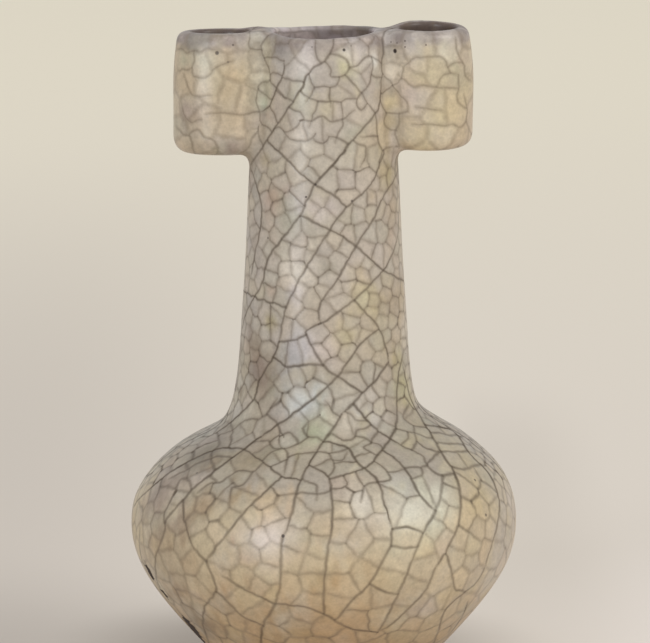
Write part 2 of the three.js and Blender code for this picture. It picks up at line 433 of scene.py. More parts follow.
def upper_parts(places):
    """Three distances for the neck and its two tubes: how far places lie outside the solids, how far into a
    bore, and how far above the local top, which rises from the front of the mouth to the joints with the
    tubes and stands a little higher on the right. And how far the lip is rounded there."""
    x, y, z = places[:, 0], places[:, 1], places[:, 2]
    rho = np.hypot(x, y)
    swing = warp(np.arctan2(y, x), z)
    solid = rho - outside(z) - swing
    top = z - rim_level - rim_rise * ease(6.5 * mm, 14.5 * mm, np.abs(x))
    top = top - rim_lift * ease(-1 * mm, 5 * mm, x) * ease(12.5 * mm, 8.5 * mm, x)
    rounding = np.full(len(x), rim_round)
    bores = bore(z) + swing - rho - lip_gain * ease(rim_level - 6 * mm, rim_level - 1 * mm, z)
    for side, rise, lean, length, tube_radius, foot_round in lug_sets:
        u, v, w = tube_place(places, side, rise, lean, length)
        up = w / (length / 2)
        wobble = 0.1 * mm * np.sin(2 * np.arctan2(v, u) + side + w / (6 * mm))
        outer_half = ease(-4 * mm, 4 * mm, side * u)
        radius = tube_radius - lug_top_inset * np.clip(up, 0, 1) ** 2 * outer_half + wobble
        across = np.hypot(u, v / lug_depth_share)
        tube = soft_max(across - radius, -w - length / 2, foot_round)
        solid = soft_min(solid, tube, crease)
        share = ease(saddle_start, saddle_end, side * x)
        top = top * (1 - share) + (w - length / 2) * share
        rounding = rounding + (lug_lip_round - rim_round) * share
        hole = lug_bore_foot + (lug_bore_top - lug_bore_foot) * (up + 1) / 2 - across
        bores = np.maximum(bores, hole)
    return solid, bores, top, rounding


def upper_gap(places):
    """How far places lie outside the glazed neck and its tubes: outside the solids, above the top or in a
    bore, whichever is farthest, with rounded lips."""
    solid, bores, top, rounding = upper_parts(places)
    return soft_max(soft_max(solid, top, rounding), bores, bore_round)


# %% Lay a mesh on the zero level
net_cell = 0.527 * mm
net_reach = np.array([34.25 * mm, 21.25 * mm, rim_level + 2.5 * mm])


def surface_net(distance, low, high, cell):
    """Vertices and faces of the level where a distance function is zero. Each cell of a grid that the level
    crosses gets one vertex, the mean of the crossings on the cell's edges, and each grid edge that it
    crosses gets one face, through the four cells round that edge."""
    axes = [low[k] + cell * np.arange(int(np.ceil((high[k] - low[k]) / cell)) + 1) for k in range(3)]
    shape = tuple(len(a) for a in axes)
    grid = np.stack(np.meshgrid(*axes, indexing="ij"), -1).reshape(-1, 3)
    value = distance(grid).reshape(shape)
    cells = tuple(n - 1 for n in shape)
    total = np.zeros(cells + (3,))
    count = np.zeros(cells)
    crossings = []
    for axis in range(3):
        lower = np.moveaxis(value, axis, 0)[:-1]
        upper = np.moveaxis(value, axis, 0)[1:]
        crossed = np.moveaxis((lower < 0) != (upper < 0), 0, axis)
        share = np.moveaxis(lower / np.where(lower == upper, 1, lower - upper), 0, axis)
        size = crossed.shape
        index = np.stack(np.meshgrid(*[np.arange(n) for n in size], indexing="ij"), -1)
        point = index * cell + np.array(low)
        point[..., axis] += share * cell
        others = [k for k in range(3) if k != axis]
        for shift in ((0, 0), (0, 1), (1, 0), (1, 1)):
            take = [slice(None)] * 3
            for k, s in zip(others, shift):
                take[k] = slice(s, size[k] - 1 + s)
            part = crossed[tuple(take)]
            total += point[tuple(take)] * part[..., None]
            count += part
        crossings.append((axis, crossed, np.moveaxis(lower < 0, 0, axis)))
    used = count > 0
    number = np.full(cells, -1)
    number[used] = np.arange(used.sum())
    places = total[used] / count[used][:, None]
    faces = []
    for axis, crossed, inside in crossings:
        i, j, k = np.nonzero(crossed)
        base = np.stack([i, j, k], 1)
        b, c = [(1, 2), (2, 0), (0, 1)][axis]
        fit = (base[:, b] > 0) & (base[:, c] > 0) & (base[:, b] < cells[b]) & (base[:, c] < cells[c])
        base, flip = base[fit], ~inside[i[fit], j[fit], k[fit]]
        ring = []
        for step_b, step_c in ((0, 0), (-1, 0), (-1, -1), (0, -1)):
            at = base.copy()
            at[:, b] += step_b
            at[:, c] += step_c
            ring.append(number[at[:, 0], at[:, 1], at[:, 2]])
        quads = np.stack(ring, 1)
        quads[flip] = quads[flip][:, ::-1]
        faces.append(quads)
    return places, np.concatenate(faces)


def glazed_neck():
    """The neck and its tubes: the net of the distance function, cut level at the root of the neck, with each
    vertex then moved down the slope onto the zero level. On the cut, vertices keep their height."""
    low = np.array([-net_reach[0], -net_reach[1], neck_level - net_cell / 2]) - [0, 0, net_cell]
    places, faces = surface_net(
        lambda p: np.maximum(upper_gap(p), neck_level - p[:, 2]), low, net_reach, net_cell
    )
    on_cut = places[:, 2] < neck_level + 0.45 * net_cell
    places[on_cut, 2] = neck_level
    for _ in range(5):
        gap = upper_gap(places)
        slope = slope_of(upper_gap, places)
        slope[on_cut, 2] = 0
        move = -gap[:, None] * slope / ((slope**2).sum(1, keepdims=True) + 1e-12)
        move[on_cut & (np.abs(gap) > 0.95 * net_cell)] = 0
        size = np.linalg.norm(move, axis=1, keepdims=True)
        places += move * np.minimum(1, net_cell / 2 / (size + 1e-12))
    facing = unit(slope_of(upper_gap, places))
    normals = facing[faces]
    flat = on_cut[faces].all(1)
    normals[flat] = [0, 0, -1]
    miss = np.abs(upper_gap(places[~on_cut])).max() / mm
    print("largest miss off the cut in mm:", round(float(miss), 3))
    return places, faces, normals, flat.astype(int)


keep_skin("neck_and_lugs_glaze", *glazed_neck())

# %% [markdown]
# ## The foot ring
# The foot was turned when the clay was leather hard and was wiped clean of glaze, so it shows bare dark
# clay. It is a small section of its own, with eased edges and the fine grooves that the turning tool left.

# %% Turn the foot ring
foot_radius = 20.6 * mm
foot_width = 3.4 * mm
foot_taper = 0.5 * mm
foot_edge = 0.7 * mm
foot_columns = 360
groove_depth, groove_pitch = 0.035 * mm, 0.62 * mm


def foot_section():
    """Radii and heights of the ring's section from the inside of its top round below to the outside:
    straight runs, with a quarter of a circle at each lower edge."""
    inner = foot_radius - foot_width
    outer_low = foot_radius - foot_taper
    turn = np.linspace(0, np.pi / 2, 7)
    down = np.linspace(foot_top, foot_edge, 14)[:-1]
    radius = [np.full(len(down), inner), inner + foot_edge * (1 - np.cos(turn))]
    height = [down, foot_edge * (1 - np.sin(turn))]
    flat_run = np.linspace(inner + foot_edge, outer_low - foot_edge, 6)[1:-1]
    radius += [flat_run, outer_low - foot_edge * (1 - np.sin(turn))]
    height += [np.zeros(len(flat_run)), foot_edge * (1 - np.cos(turn))]
    up = np.linspace(foot_edge, foot_top, 14)[1:]
    radius.append(outer_low + foot_taper * (up - foot_edge) / (foot_top - foot_edge))
    height.append(up)
    return np.concatenate(radius), np.concatenate(height)


radius, height = foot_section()
grooved = (height > foot_edge) * (height < foot_top - 0.1 * mm)
groove = groove_depth * np.sin(height / groove_pitch * 2 * np.pi) * grooved
outer_half = radius > foot_radius - foot_width / 2
radius = radius + groove * np.where(outer_half, 1, -1)
across, level, _ = ring_face(radius[-1], radius[0], foot_top)
keep_skin("bare_foot_ring", *turn_bands([(radius, height, "ring"), (across, level, "flat")], foot_columns))

# %% [markdown]
# ## One surface for the cracks
# Cracks run over joints without a stop, so they grow on one surface: the outside of all three glazed
# pieces, the lips, and the bores as far down as light reaches. A search tree over its faces gives the
# nearest point on the glaze, and where a line of sight from the camera meets it.

# %% Gather the faces that crack
bore_light = 26 * mm


def cracking(name):
    """Which faces of a skin crack: the wall of a bowl, and all of the neck but the deep bore and cut."""
    skin = skins[name]
    if name != "neck_and_lugs_glaze":
        return skin["kinds"] == (1 if name == "lower_body_glaze" else 0)
    middle = skin["places"][skin["faces"]].mean(1)
    solid, bores, _, _ = upper_parts(middle)
    deep = (bores > solid) & (middle[:, 2] < rim_level - bore_light)
    return (skin["kinds"] == 0) & ~deep


glazed = ("lower_body_glaze", "upper_body_glaze", "neck_and_lugs_glaze")
shell_places, shell_faces, shell_normals = [], [], []
first_vertex = 0
for name in glazed:
    skin = skins[name]
    skin["cracks"] = cracking(name)
    skin["start"] = first_vertex
    shell_places.append(skin["places"])
    shell_faces.append(skin["faces"][skin["cracks"]] + first_vertex)
    shell_normals.append(unit(skin["normals"][skin["cracks"]].mean(1)))
    first_vertex += len(skin["places"])
shell_places, shell_faces = np.concatenate(shell_places), np.concatenate(shell_faces)
shell_normals = np.concatenate(shell_normals)
shell_middles = shell_places[shell_faces].mean(1)
skin_tree = BVHTree.FromPolygons(shell_places.tolist(), shell_faces.tolist())
print("faces that crack:", len(shell_faces))


def settle(place, reach=1.0 * mm):
    """The nearest point on the glaze and the way it faces there, or None where the glaze is out of reach."""
    found, facing, _, _ = skin_tree.find_nearest(place, reach)
    return None if found is None else (found, facing)


def sighted(pixel):
    """Where the line of sight through a pixel of the photograph meets the glaze, and the way it faces."""
    found, facing, _, _ = skin_tree.ray_cast(camera.location, sight_line(pixel))
    return None if found is None else (found, facing)


def smooth_path(corners, step):
    """Points about a step apart on a Catmull-Rom spline through corners: each stretch is a cubic whose slope
    at a corner is half the way from the corner before to the corner after."""
    ends = [2 * corners[0] - corners[1], *corners, 2 * corners[-1] - corners[-2]]
    path = []
    for a, b, c, d in zip(ends, ends[1:], ends[2:], ends[3:]):
        count = max(1, int(np.linalg.norm(c - b) / step))
        for t in np.arange(count) / count:
            slopes = (c - a) * t + (2 * a - 5 * b + 4 * c - d) * t**2 + (3 * b - a - 3 * c + d) * t**3
            path.append(b + slopes / 2)
    return path + [corners[-1]]


# %% [markdown]
# ## The cracks in the photograph
# The long dark cracks were stained when the glaze had just cooled, and they give this vase its face, so
# they are placed as the photograph shows them. Each is a few pixels of the 650 by 643 picture, chosen
# from top to bottom or from left to right, and a spline runs through them.

# %% Long cracks, as the photograph shows them
neck_top_cracks = {
    "from the lip down to the left": ((333, 39), (332, 50), (324, 61), (315, 67), (306, 77), (301, 89),
        (289, 107), (278, 123), (267, 140), (250, 166)),
    "beside the left lug": ((284, 60), (284, 70), (281, 78), (275, 92), (271, 103), (265, 110),
        (258, 112)),
    "beside the right lug": ((383, 40), (382, 66), (380, 100), (375, 114), (354, 139), (330, 168)),
}
neck_cracks = {
    "first long": ((345, 151), (316, 184), (301, 214), (284, 237), (268, 258), (262, 283), (250, 305)),
    "second long": ((384, 153), (370, 186), (345, 209), (319, 247), (296, 286), (286, 308), (279, 342)),
    "second long, foot": ((279, 342), (274, 356), (259, 381), (254, 399), (239, 415)),
    "third long": ((395, 178), (381, 201), (372, 221), (356, 246), (340, 275), (319, 307), (321, 324)),
    "right edge": ((398, 230), (396, 244), (383, 270), (353, 301), (331, 317), (321, 324)),
    "across, upper": ((267, 141), (277, 150), (289, 162), (300, 173), (314, 184), (333, 195), (345, 205)),
    "across, middle": ((301, 216), (330, 230), (356, 246), (382, 269), (402, 280)),
    "across, lower left": ((245, 292), (259, 299), (276, 304), (286, 307)),
    "knee": ((321, 324), (308, 330), (307, 337), (323, 365), (337, 376), (361, 392)),
    "short, left": ((279, 342), (294, 340), (307, 335)),
    "short, below": ((280, 362), (289, 367), (307, 365), (323, 365)),
    "lower right": ((358, 304), (377, 325), (384, 341), (389, 362)),
    "down to the left": ((380, 328), (360, 345), (337, 377), (317, 396), (286, 419), (260, 437)),
    "root, right": ((389, 362), (374, 382), (361, 395), (342, 414)),
    "upper left edge": ((250, 166), (258, 190), (262, 214), (258, 240)),
}
shoulder_cracks = {
    "third long, foot": ((342, 414), (333, 428), (308, 465), (297, 490), (290, 520), (283, 536)),
    "left, far round": ((260, 437), (244, 449), (215, 471), (192, 490), (170, 515)),
    "left, under": ((244, 449), (262, 461), (281, 476), (300, 480)),
    "left, to the belly": ((281, 477), (261, 496), (246, 510), (230, 530), (206, 561)),
    "arc from the middle": ((308, 465), (321, 471), (329, 479), (332, 501), (332, 524), (326, 563),
        (324, 594)),
    "middle, over": ((323, 441), (347, 448), (358, 463), (377, 480), (385, 505), (392, 529)),
    "right, down to the middle": ((397, 390), (395, 428), (377, 456), (364, 468), (330, 479)),
    "middle to right": ((355, 405), (367, 421), (389, 438), (403, 446)),
    "right, long": ((383, 450), (399, 462), (412, 480), (421, 497), (436, 511)),
    "left, outer": ((244, 449), (223, 448), (207, 453), (188, 462), (172, 471), (160, 480), (141, 497)),
    "far right": ((412, 402), (420, 416), (432, 436), (444, 457), (455, 474), (461, 500), (455, 533),
        (435, 569)),
    "shoulder edge": ((425, 425), (453, 431), (470, 454), (489, 474), (498, 496), (498, 521), (484, 569)),
}
belly_cracks = {
    "first down": ((283, 536), (281, 558), (280, 583), (274, 606), (263, 625), (261, 643)),
    "left fork": ((206, 561), (216, 589), (206, 605), (203, 622), (208, 640)),
    "left, up to the fork": ((187, 530), (193, 547), (206, 561)),
    "left edge": ((172, 498), (164, 515), (165, 530), (156, 555), (155, 567)),
    "middle down": ((392, 529), (390, 546), (370, 583), (351, 601), (343, 612)),
    "right of the middle": ((436, 511), (424, 532), (407, 574), (388, 615), (377, 634)),
    "right, foot": ((435, 569), (425, 591), (411, 606)),
    "short, right": ((447, 555), (452, 574), (455, 589), (461, 591)),
    "shoulder edge, foot": ((484, 569), (475, 584), (455, 600), (444, 612), (439, 629)),
    "bridge, upper": ((393, 530), (407, 527), (422, 532)),
    "bridge, lower": ((390, 546), (404, 548), (419, 547)),
    "across the foot": ((258, 596), (275, 603), (299, 606), (320, 612), (349, 628), (377, 632)),
    "foot, left": ((222, 596), (229, 603), (244, 617), (263, 625)),
    "short, middle right": ((370, 583), (382, 591), (393, 594)),
}
long_cracks = {**neck_top_cracks, **neck_cracks, **shoulder_cracks, **belly_cracks}
print("long cracks placed by eye:", len(long_cracks))

# %% Short firm cracks on the neck's top, the lugs and the shoulder, where the photograph shows them best
upper_neck_cells = {
    "left of the lip's crack": ((317, 38), (315, 48), (316, 55), (320, 62)),
    "yellow cell": ((324, 61), (330, 68), (331, 76), (339, 77), (345, 76), (350, 67), (344, 58),
        (335, 55), (331, 54)),
    "over to the right": ((350, 67), (356, 66), (361, 61), (366, 57), (371, 56), (382, 64)),
    "down the right": ((371, 57), (373, 64), (371, 76), (369, 84), (362, 93), (357, 99), (356, 105),
        (361, 110), (367, 104)),
    "right ladder": ((372, 75), (377, 78), (382, 78)),
    "tan cell": ((310, 73), (311, 80), (314, 87), (325, 86), (330, 87), (337, 85), (339, 78)),
    "stem, left": ((314, 87), (312, 95), (310, 98)),
    "stem, right": ((330, 87), (329, 94), (330, 101)),
    "level": ((301, 92), (310, 98), (318, 101), (325, 102), (331, 101), (340, 102), (348, 99), (357, 99)),
    "small cells": ((345, 76), (351, 83), (357, 88), (361, 93)),
    "below the level, left": ((317, 101), (316, 109), (313, 117), (311, 122)),
    "below the level, right": ((340, 102), (342, 109), (343, 115), (342, 120)),
    "to the long crack": ((362, 93), (364, 98), (368, 103), (373, 110)),
    "brown level": ((304, 120), (311, 122), (316, 119), (323, 116), (331, 122), (342, 120), (351, 113)),
}
front_cells = {
    "green cell, left": ((280, 430), (279, 442), (281, 448)),
    "green cell, right": ((298, 444), (304, 440), (307, 437), (303, 429), (305, 426)),
}
lower_neck_cells = {
    "small cell, right": ((342, 120), (343, 126), (339, 132), (337, 137)),
    "under them": ((327, 135), (337, 137), (346, 143)),
    "square cell": ((316, 133), (314, 140), (318, 143), (324, 143), (328, 140)),
    "round the pale cell": ((289, 107), (296, 111), (302, 114), (304, 120), (300, 121), (298, 126),
        (290, 131), (284, 132)),
    "wide cell, under": ((272, 129), (280, 127), (285, 133), (289, 139), (301, 141), (309, 140),
        (316, 134)),
    "left, across": ((281, 77), (290, 80), (303, 82)),
    "left, from the crack": ((276, 90), (284, 97), (293, 101)),
    "left, short": ((270, 107), (275, 116), (277, 123)),
    "yellow cell below": ((353, 142), (359, 145), (366, 146), (366, 154), (363, 162)),
    "right, inner": ((375, 113), (377, 123), (377, 132), (379, 143), (382, 151), (379, 162)),
    "right, small": ((366, 137), (377, 136)),
    "under the right lug": ((382, 151), (389, 147), (396, 146)),
}
left_lug_cells = {
    "under the lip": ((178, 49), (183, 49), (186, 53), (194, 51), (201, 52), (206, 48), (213, 49)),
    "from the lip": ((194, 51), (194, 60), (192, 67), (187, 70), (179, 70)),
    "upper": ((192, 67), (194, 77), (205, 77), (211, 74), (213, 70), (220, 65), (229, 62)),
    "side": ((186, 81), (189, 89), (192, 94), (197, 97), (206, 96)),
    "brown": ((182, 107), (185, 116), (190, 122), (197, 121)),
    "level": ((258, 112), (250, 114), (239, 115), (225, 113), (211, 114)),
    "lower left": ((179, 130), (184, 134), (189, 136), (192, 131), (198, 130), (204, 138), (212, 138),
        (217, 145), (217, 153)),
    "lowest": ((189, 136), (192, 143), (193, 150)),
    "lower right": ((260, 124), (257, 133), (252, 138), (249, 147), (243, 152)),
    "joint, down": ((268, 36), (263, 42), (262, 50), (264, 58), (268, 66), (270, 80), (261, 83),
        (258, 89), (264, 94), (271, 99)),
    "joint, upper": ((264, 58), (270, 57), (276, 58), (284, 61)),
    "joint, side": ((249, 33), (250, 47), (262, 49)),
    "joint, round cell": ((270, 75), (274, 72), (282, 76)),
    "joint, below it": ((270, 80), (273, 85), (277, 88), (281, 93), (285, 98)),
    "joint, green cell": ((258, 89), (256, 101), (259, 111), (261, 122), (267, 127), (271, 131)),
    "joint, lower": ((258, 126), (259, 136), (263, 146)),
}
right_lug_cells = {
    "joint, small cell": ((382, 75), (388, 79), (393, 85), (386, 90), (381, 95)),
    "joint, up": ((393, 85), (399, 82), (402, 74), (405, 66), (414, 58), (428, 57), (443, 58), (447, 66),
        (451, 73), (459, 74)),
    "edge": ((456, 43), (458, 54), (464, 65), (465, 75), (470, 80)),
    "edge above": ((449, 67), (455, 62), (463, 63)),
    "second edge": ((458, 74), (459, 86), (457, 95), (459, 104), (465, 108)),
    "middle": ((403, 79), (409, 84), (414, 87), (425, 85), (436, 87), (440, 78), (450, 73)),
    "middle on": ((436, 87), (448, 88), (458, 88)),
    "inner": ((393, 85), (397, 92), (403, 98), (408, 104), (408, 112)),
    "level": ((421, 108), (430, 109), (438, 110)),
    "lower": ((418, 124), (432, 124), (446, 126), (453, 124), (460, 127), (466, 121), (467, 110),
        (465, 100)),
    "far": ((466, 121), (470, 131)),
    "below": ((380, 100), (384, 109), (389, 113), (406, 113)),
    "down": ((398, 113), (400, 123), (395, 132), (398, 141), (400, 148)),
    "joint, lower cell": ((387, 113), (384, 121), (388, 129), (396, 131)),
}
left_shoulder_cells = {
    "knot, upper left": ((274, 403), (266, 414), (259, 419), (250, 419), (241, 423), (233, 430),
        (222, 434)),
    "knot, lower right": ((266, 414), (272, 419), (278, 424), (282, 436)),
    "outer, between": ((233, 458), (219, 456), (211, 459), (201, 462), (193, 466), (187, 470),
        (173, 477)),
    "outer, rib": ((231, 425), (233, 430), (231, 437), (231, 441), (228, 448)),
    "outer, long rib": ((217, 433), (219, 440), (218, 447), (212, 451), (211, 459), (215, 469)),
    "over the joint": ((261, 441), (253, 443), (245, 449)),
    "round cell, left": ((261, 441), (269, 441), (273, 448), (284, 449)),
    "round cell, under": ((261, 462), (267, 456), (274, 451), (284, 449), (288, 456), (286, 463),
        (285, 470)),
    "round cell, foot": ((272, 466), (280, 462), (286, 460)),
    "green cell, over": ((283, 435), (290, 433), (297, 440), (298, 444), (287, 448)),
    "to the third long": ((307, 437), (315, 437), (323, 441)),
    "middle, level": ((288, 457), (297, 454), (306, 453), (318, 452), (329, 453), (340, 451), (347, 449)),
    "left of the arc": ((300, 479), (307, 482), (316, 485), (317, 495)),
    "under the arc": ((297, 493), (308, 493), (317, 494), (330, 491)),
    "tan cell, over": ((262, 463), (253, 472), (241, 470), (227, 478), (219, 483), (210, 483),
        (202, 489)),
    "tan cell, right": ((253, 472), (248, 480), (241, 486), (232, 488), (230, 499)),
    "rose cell": ((192, 489), (189, 481), (183, 478), (178, 483), (175, 492)),
    "rose cell, left": ((161, 481), (159, 489), (156, 498)),
}
right_shoulder_cells = {
    "middle to right, on": ((403, 446), (411, 450), (423, 456), (425, 462), (434, 472), (443, 475),
        (452, 474)),
    "upper right, level": ((397, 428), (407, 432), (416, 433), (425, 437), (432, 438)),
    "upper right, over": ((408, 406), (403, 417), (408, 422), (414, 426), (425, 427)),
    "small cells, a": ((414, 426), (414, 432), (417, 441), (414, 447), (411, 450)),
    "small cells, b": ((417, 441), (425, 448), (434, 451), (441, 451)),
    "small cells, c": ((407, 433), (408, 438), (402, 444)),
    "middle cells, a": ((377, 432), (372, 439), (371, 442), (380, 445), (383, 449)),
    "middle cells, b": ((371, 443), (363, 447), (368, 451), (377, 455)),
    "middle cells, c": ((367, 427), (357, 431), (355, 436), (350, 440), (342, 440), (331, 433),
        (328, 437)),
    "middle cells, d": ((355, 436), (367, 439), (371, 442)),
    "middle cells, e": ((356, 472), (359, 480), (364, 486), (371, 483), (378, 482)),
    "middle cells, f": ((364, 486), (362, 498)),
    "middle cells, g": ((329, 453), (332, 460), (342, 460), (345, 456)),
    "middle cells, h": ((332, 460), (335, 467), (331, 473)),
    "middle cells, i": ((343, 476), (347, 484), (341, 488), (331, 489)),
    "right cells, a": ((376, 462), (382, 466), (387, 471), (391, 479), (386, 481), (378, 482)),
    "right cells, b": ((406, 467), (416, 467), (421, 468), (422, 475), (411, 479)),
    "far right, a": ((431, 433), (440, 433), (451, 436), (455, 434)),
    "far right, b": ((438, 443), (452, 444), (462, 444)),
    "far right, c": ((443, 451), (452, 452), (468, 451)),
    "far right, d": ((452, 467), (463, 469), (481, 464)),
    "right cell, upper": ((436, 511), (440, 500), (442, 487), (444, 476)),
    "right cell, below": ((460, 527), (470, 533), (477, 539)),
    "neck root, a": ((329, 406), (332, 411), (340, 416)),
    "neck root, b": ((345, 412), (352, 415), (355, 420), (367, 421)),
}
short_groups = (
    upper_neck_cells, front_cells, lower_neck_cells, left_lug_cells, right_lug_cells,
    left_shoulder_cells, right_shoulder_cells,
)
short_cracks = [pixels for group in short_groups for pixels in group.values()]
print("short cracks placed by eye:", len(short_cracks))

# %% [markdown]
# ## Growing the long cracks
# Glaze cracks in turns. A first set runs long, along the pull of the cooling wall: steeply round the neck,
# and up and down the belly. Where a crack of the photograph ends in the open, it grows on until it meets
# another, and the sides that the photograph doesn't show get long cracks that grow in the same way.

# %% The net
# Two walls face the same way where the cosine between their facings is more than this
same_way = 0.3
step = 0.45 * mm


class Net:
    """Points on the glaze, the way each faces, and the cracks as lines of point numbers. The nearest point
    comes from a tree of the older points and a short list of those added since."""

    def __init__(self):
        self.places, self.facings, self.cracks = [], [], []
        self.tree, self.treed = None, 0

    def add(self, place, facing):
        self.places.append(place)
        self.facings.append(facing)
        if len(self.places) - self.treed > 100:
            self.treed = len(self.places)
            self.tree = KDTree(self.treed)
            for number, older in enumerate(self.places):
                self.tree.insert(older, number)
            self.tree.balance()
        return len(self.places) - 1

    def nearest(self, place, facing, reach, skip=()):
        """The nearest point within reach on a wall that faces the same way, and its distance."""
        best, least = None, reach
        near = [found[1:] for found in self.tree.find_range(place, reach)] if self.tree else []
        added = range(self.treed, len(self.places))
        near += [(number, (self.places[number] - place).length) for number in added]
        for number, gap in near:
            if gap < least and number not in skip and facing.dot(self.facings[number]) > same_way:
                best, least = number, gap
        return best, least

    def keep(self, path, start, end, rank):
        """Add a path of (place, facing) as a crack. Start and end are points that it meets, or None."""
        line = [self.add(place, facing) for place, facing in path]
        line = ([] if start is None else [start]) + line + ([] if end is None else [end])
        self.cracks.append({"line": line, "rank": rank, "open": (start is None, end is None)})


net = Net()
dice = np.random.default_rng(7)


def in_view(place, facing):
    """True where the photograph shows the glaze well enough for its long cracks to be placed."""
    return facing.dot((camera.location - place).normalized()) > same_way


def along_wall(direction, facing):
    """A direction laid flat on a wall that faces some way."""
    flat = direction - facing * direction.dot(facing)
    return flat.normalized() if flat.length > 1e-9 else facing.orthogonal()


def run_on(place, facing, heading, limit, seek, wander, skip=(), bend=0.0, hidden=False):
    """Grow one arm of a crack: short steps along the wall, each turned by the bend and a little at random. A
    crack within the reach of seek that lies ahead draws the arm to it, and the arm ends there. A hidden arm
    also ends where it comes into view. The path doesn't hold the start. Returns the path and the point that
    it met."""
    path = []
    for _ in range(int(limit / step)):
        if hidden and in_view(place, facing):
            return path, None
        met, gap = net.nearest(place, facing, seek, skip)
        if met is not None and (path or gap > step / 2):
            toward = (net.places[met] - place) / max(gap, 1e-9)
            if gap < step * 1.3 and (toward.dot(heading) > -0.3):
                return path, met
            if toward.dot(heading) > 0.1:
                heading = (heading + toward * 0.5 * (1 - gap / seek)).normalized()
        side = facing.cross(heading)
        heading = (heading + side * (bend + dice.normal(0, wander))).normalized()
        found = settle(place + heading * step)
        if found is None or (found[0] - place).length < step / 3:
            return path, None
        place, facing = found
        heading = along_wall(heading, facing)
        path.append(found)
    return path, None


# %% Lay the photograph's cracks
meet_reach = 1.1 * mm
trace_step = 2.0
open_limit = {"long": 9 * mm, "firm": 1.5 * mm}
open_seek, open_wander = 1.6 * mm, 0.05


def lay_photo_crack(pixels, rank):
    """Put a crack of the photograph on the glaze: a spline through its pixels, each point sighted from the
    camera, then evenly spaced. An end near an older crack meets it."""
    corners = [np.array(pixel, float) for pixel in pixels]
    seen = [found for found in map(sighted, smooth_path(corners, trace_step)) if found]
    path = [seen[0]]
    for place, facing in seen[1:]:
        while (place - path[-1][0]).length > 1.6 * step:
            way = (place - path[-1][0]).normalized()
            between = settle(path[-1][0] + way * step)
            if between is None:
                break
            path.append(between)
        if (place - path[-1][0]).length > 0.7 * step:
            path.append((place, facing))
    start, _ = net.nearest(*path[0], meet_reach)
    end, _ = net.nearest(*path[-1], meet_reach)
    net.keep(path[1:] if start is not None else path, start, end, rank)


for pixels in long_cracks.values():
    lay_photo_crack(pixels, "long")
for pixels in short_cracks:
    lay_photo_crack(pixels, "firm")
print("cracks from the photograph:", len(net.cracks), "points:", len(net.places))


def close_open_ends(cracks):
    """Grow the open ends of cracks on, until each meets another crack or the limit for its rank. A crack's
    own last points don't count as met, and an end that another crack shares stays as it is."""
    ends = [number for crack in cracks for number in (crack["line"][0], crack["line"][-1])]
    for crack in cracks:
        for side in (0, 1):
            line = crack["line"] if side else crack["line"][::-1]
            shared = sum(ends.count(number) for number in line[-4:]) > 1
            if not crack["open"][side] or len(line) < 3 or shared:
                continue
            last, before = line[-1], line[-3]
            heading = along_wall(net.places[last] - net.places[before], net.facings[last])
            skip = set(line[-6:])
            limit = open_limit[crack["rank"]]
            path, met = run_on(
                net.places[last], net.facings[last], heading, limit, open_seek, open_wander, skip
            )
            line = line + [net.add(*found) for found in path] + ([] if met is None else [met])
            crack["line"] = line if side else line[::-1]
            crack["open"] = (met is None, crack["open"][1]) if side == 0 else (crack["open"][0], met is None)


placed_points = len(net.places)
close_open_ends(list(net.cracks))

# %% Long cracks on the sides that the photograph doesn't show
neck_slope = math.radians(56)
belly_tilt = math.radians(14)
neck_foot = 72 * mm
long_tries = 900
long_gap, long_limit, long_least = 6 * mm, 32 * mm, 6 * mm
long_seek, long_wander, long_curl = 0.9 * mm, 0.035, 0.012


def pull(place, facing):
    """The way of a long crack: on the neck a steep spiral that rises to the right, lower down a line that
    runs down the wall. Now and then the spiral runs the other way, and less steeply."""
    around = Vector((-place.y, place.x, 0)).normalized()
    upward = along_wall(Vector((0, 0, 1)), facing)
    if place.z > neck_foot:
        slope = neck_slope if dice.random() < 0.7 else math.pi - neck_slope / 2
    else:
        slope = math.pi / 2 - belly_tilt * dice.choice((-1, 1, 1))
    return along_wall(around * math.cos(slope) + upward * math.sin(slope), facing)


def seeds(count):
    """Places on the glaze in a random order."""
    for face in dice.integers(0, len(shell_faces), count):
        yield Vector(shell_middles[face]), Vector(shell_normals[face])


def grow_long_crack(place, facing):
    """Grow a crack both ways from a place, bent to one side as a whole, and keep it if it is long enough."""
    heading = pull(place, facing)
    bend = dice.normal(0, long_curl)
    (back, start), (ahead, end) = (
        run_on(place, facing, way * heading, long_limit, long_seek, long_wander, (), way * bend, True)
        for way in (-1, 1)
    )
    path = back[::-1] + [(place, facing)] + ahead
    if len(path) * step >= long_least:
        net.keep(path, start, end, "long")


for place, facing in seeds(long_tries):
    if not in_view(place, facing) and net.nearest(place, facing, long_gap)[0] is None:
        grow_long_crack(place, facing)
print("with the unseen sides:", len(net.cracks), "points:", len(net.places))

# %% [markdown]
# ## Settling the long cracks
# Each point moves a little towards the mean of its neighbours, many times over, and is put back on the
# wall. Points from the photograph move much less. Last, a fine ripple takes away what is left of the steps.

# %% Smooth the long cracks
rounds, rounds_between = 24, 6
give, placed_give = 0.15, 0.03
ripples = ((2.6 * mm, 0.10 * mm), (1.1 * mm, 0.05 * mm))


def waves(places, size, number, count=5):
    """A slow random field from -1 to 1 or so: a sum of sine waves of about one size, each its own way."""
    way = np.random.default_rng(number)
    total = np.zeros(len(places))
    for _ in range(count):
        direction = way.normal(size=3)
        direction *= 2 * np.pi / (size * way.uniform(0.7, 1.5) * np.linalg.norm(direction))
        total += np.sin(places @ direction + way.uniform(0, 2 * np.pi))
    return total / math.sqrt(count)


def rippled(places, sizes):
    """Places moved by slow random fields, one for each axis: each size of wave has its own reach."""
    moved = places.copy()
    for size, reach in sizes:
        moved += reach * np.stack([waves(places, size, number) for number in (1, 2, 3)], 1)
    return moved


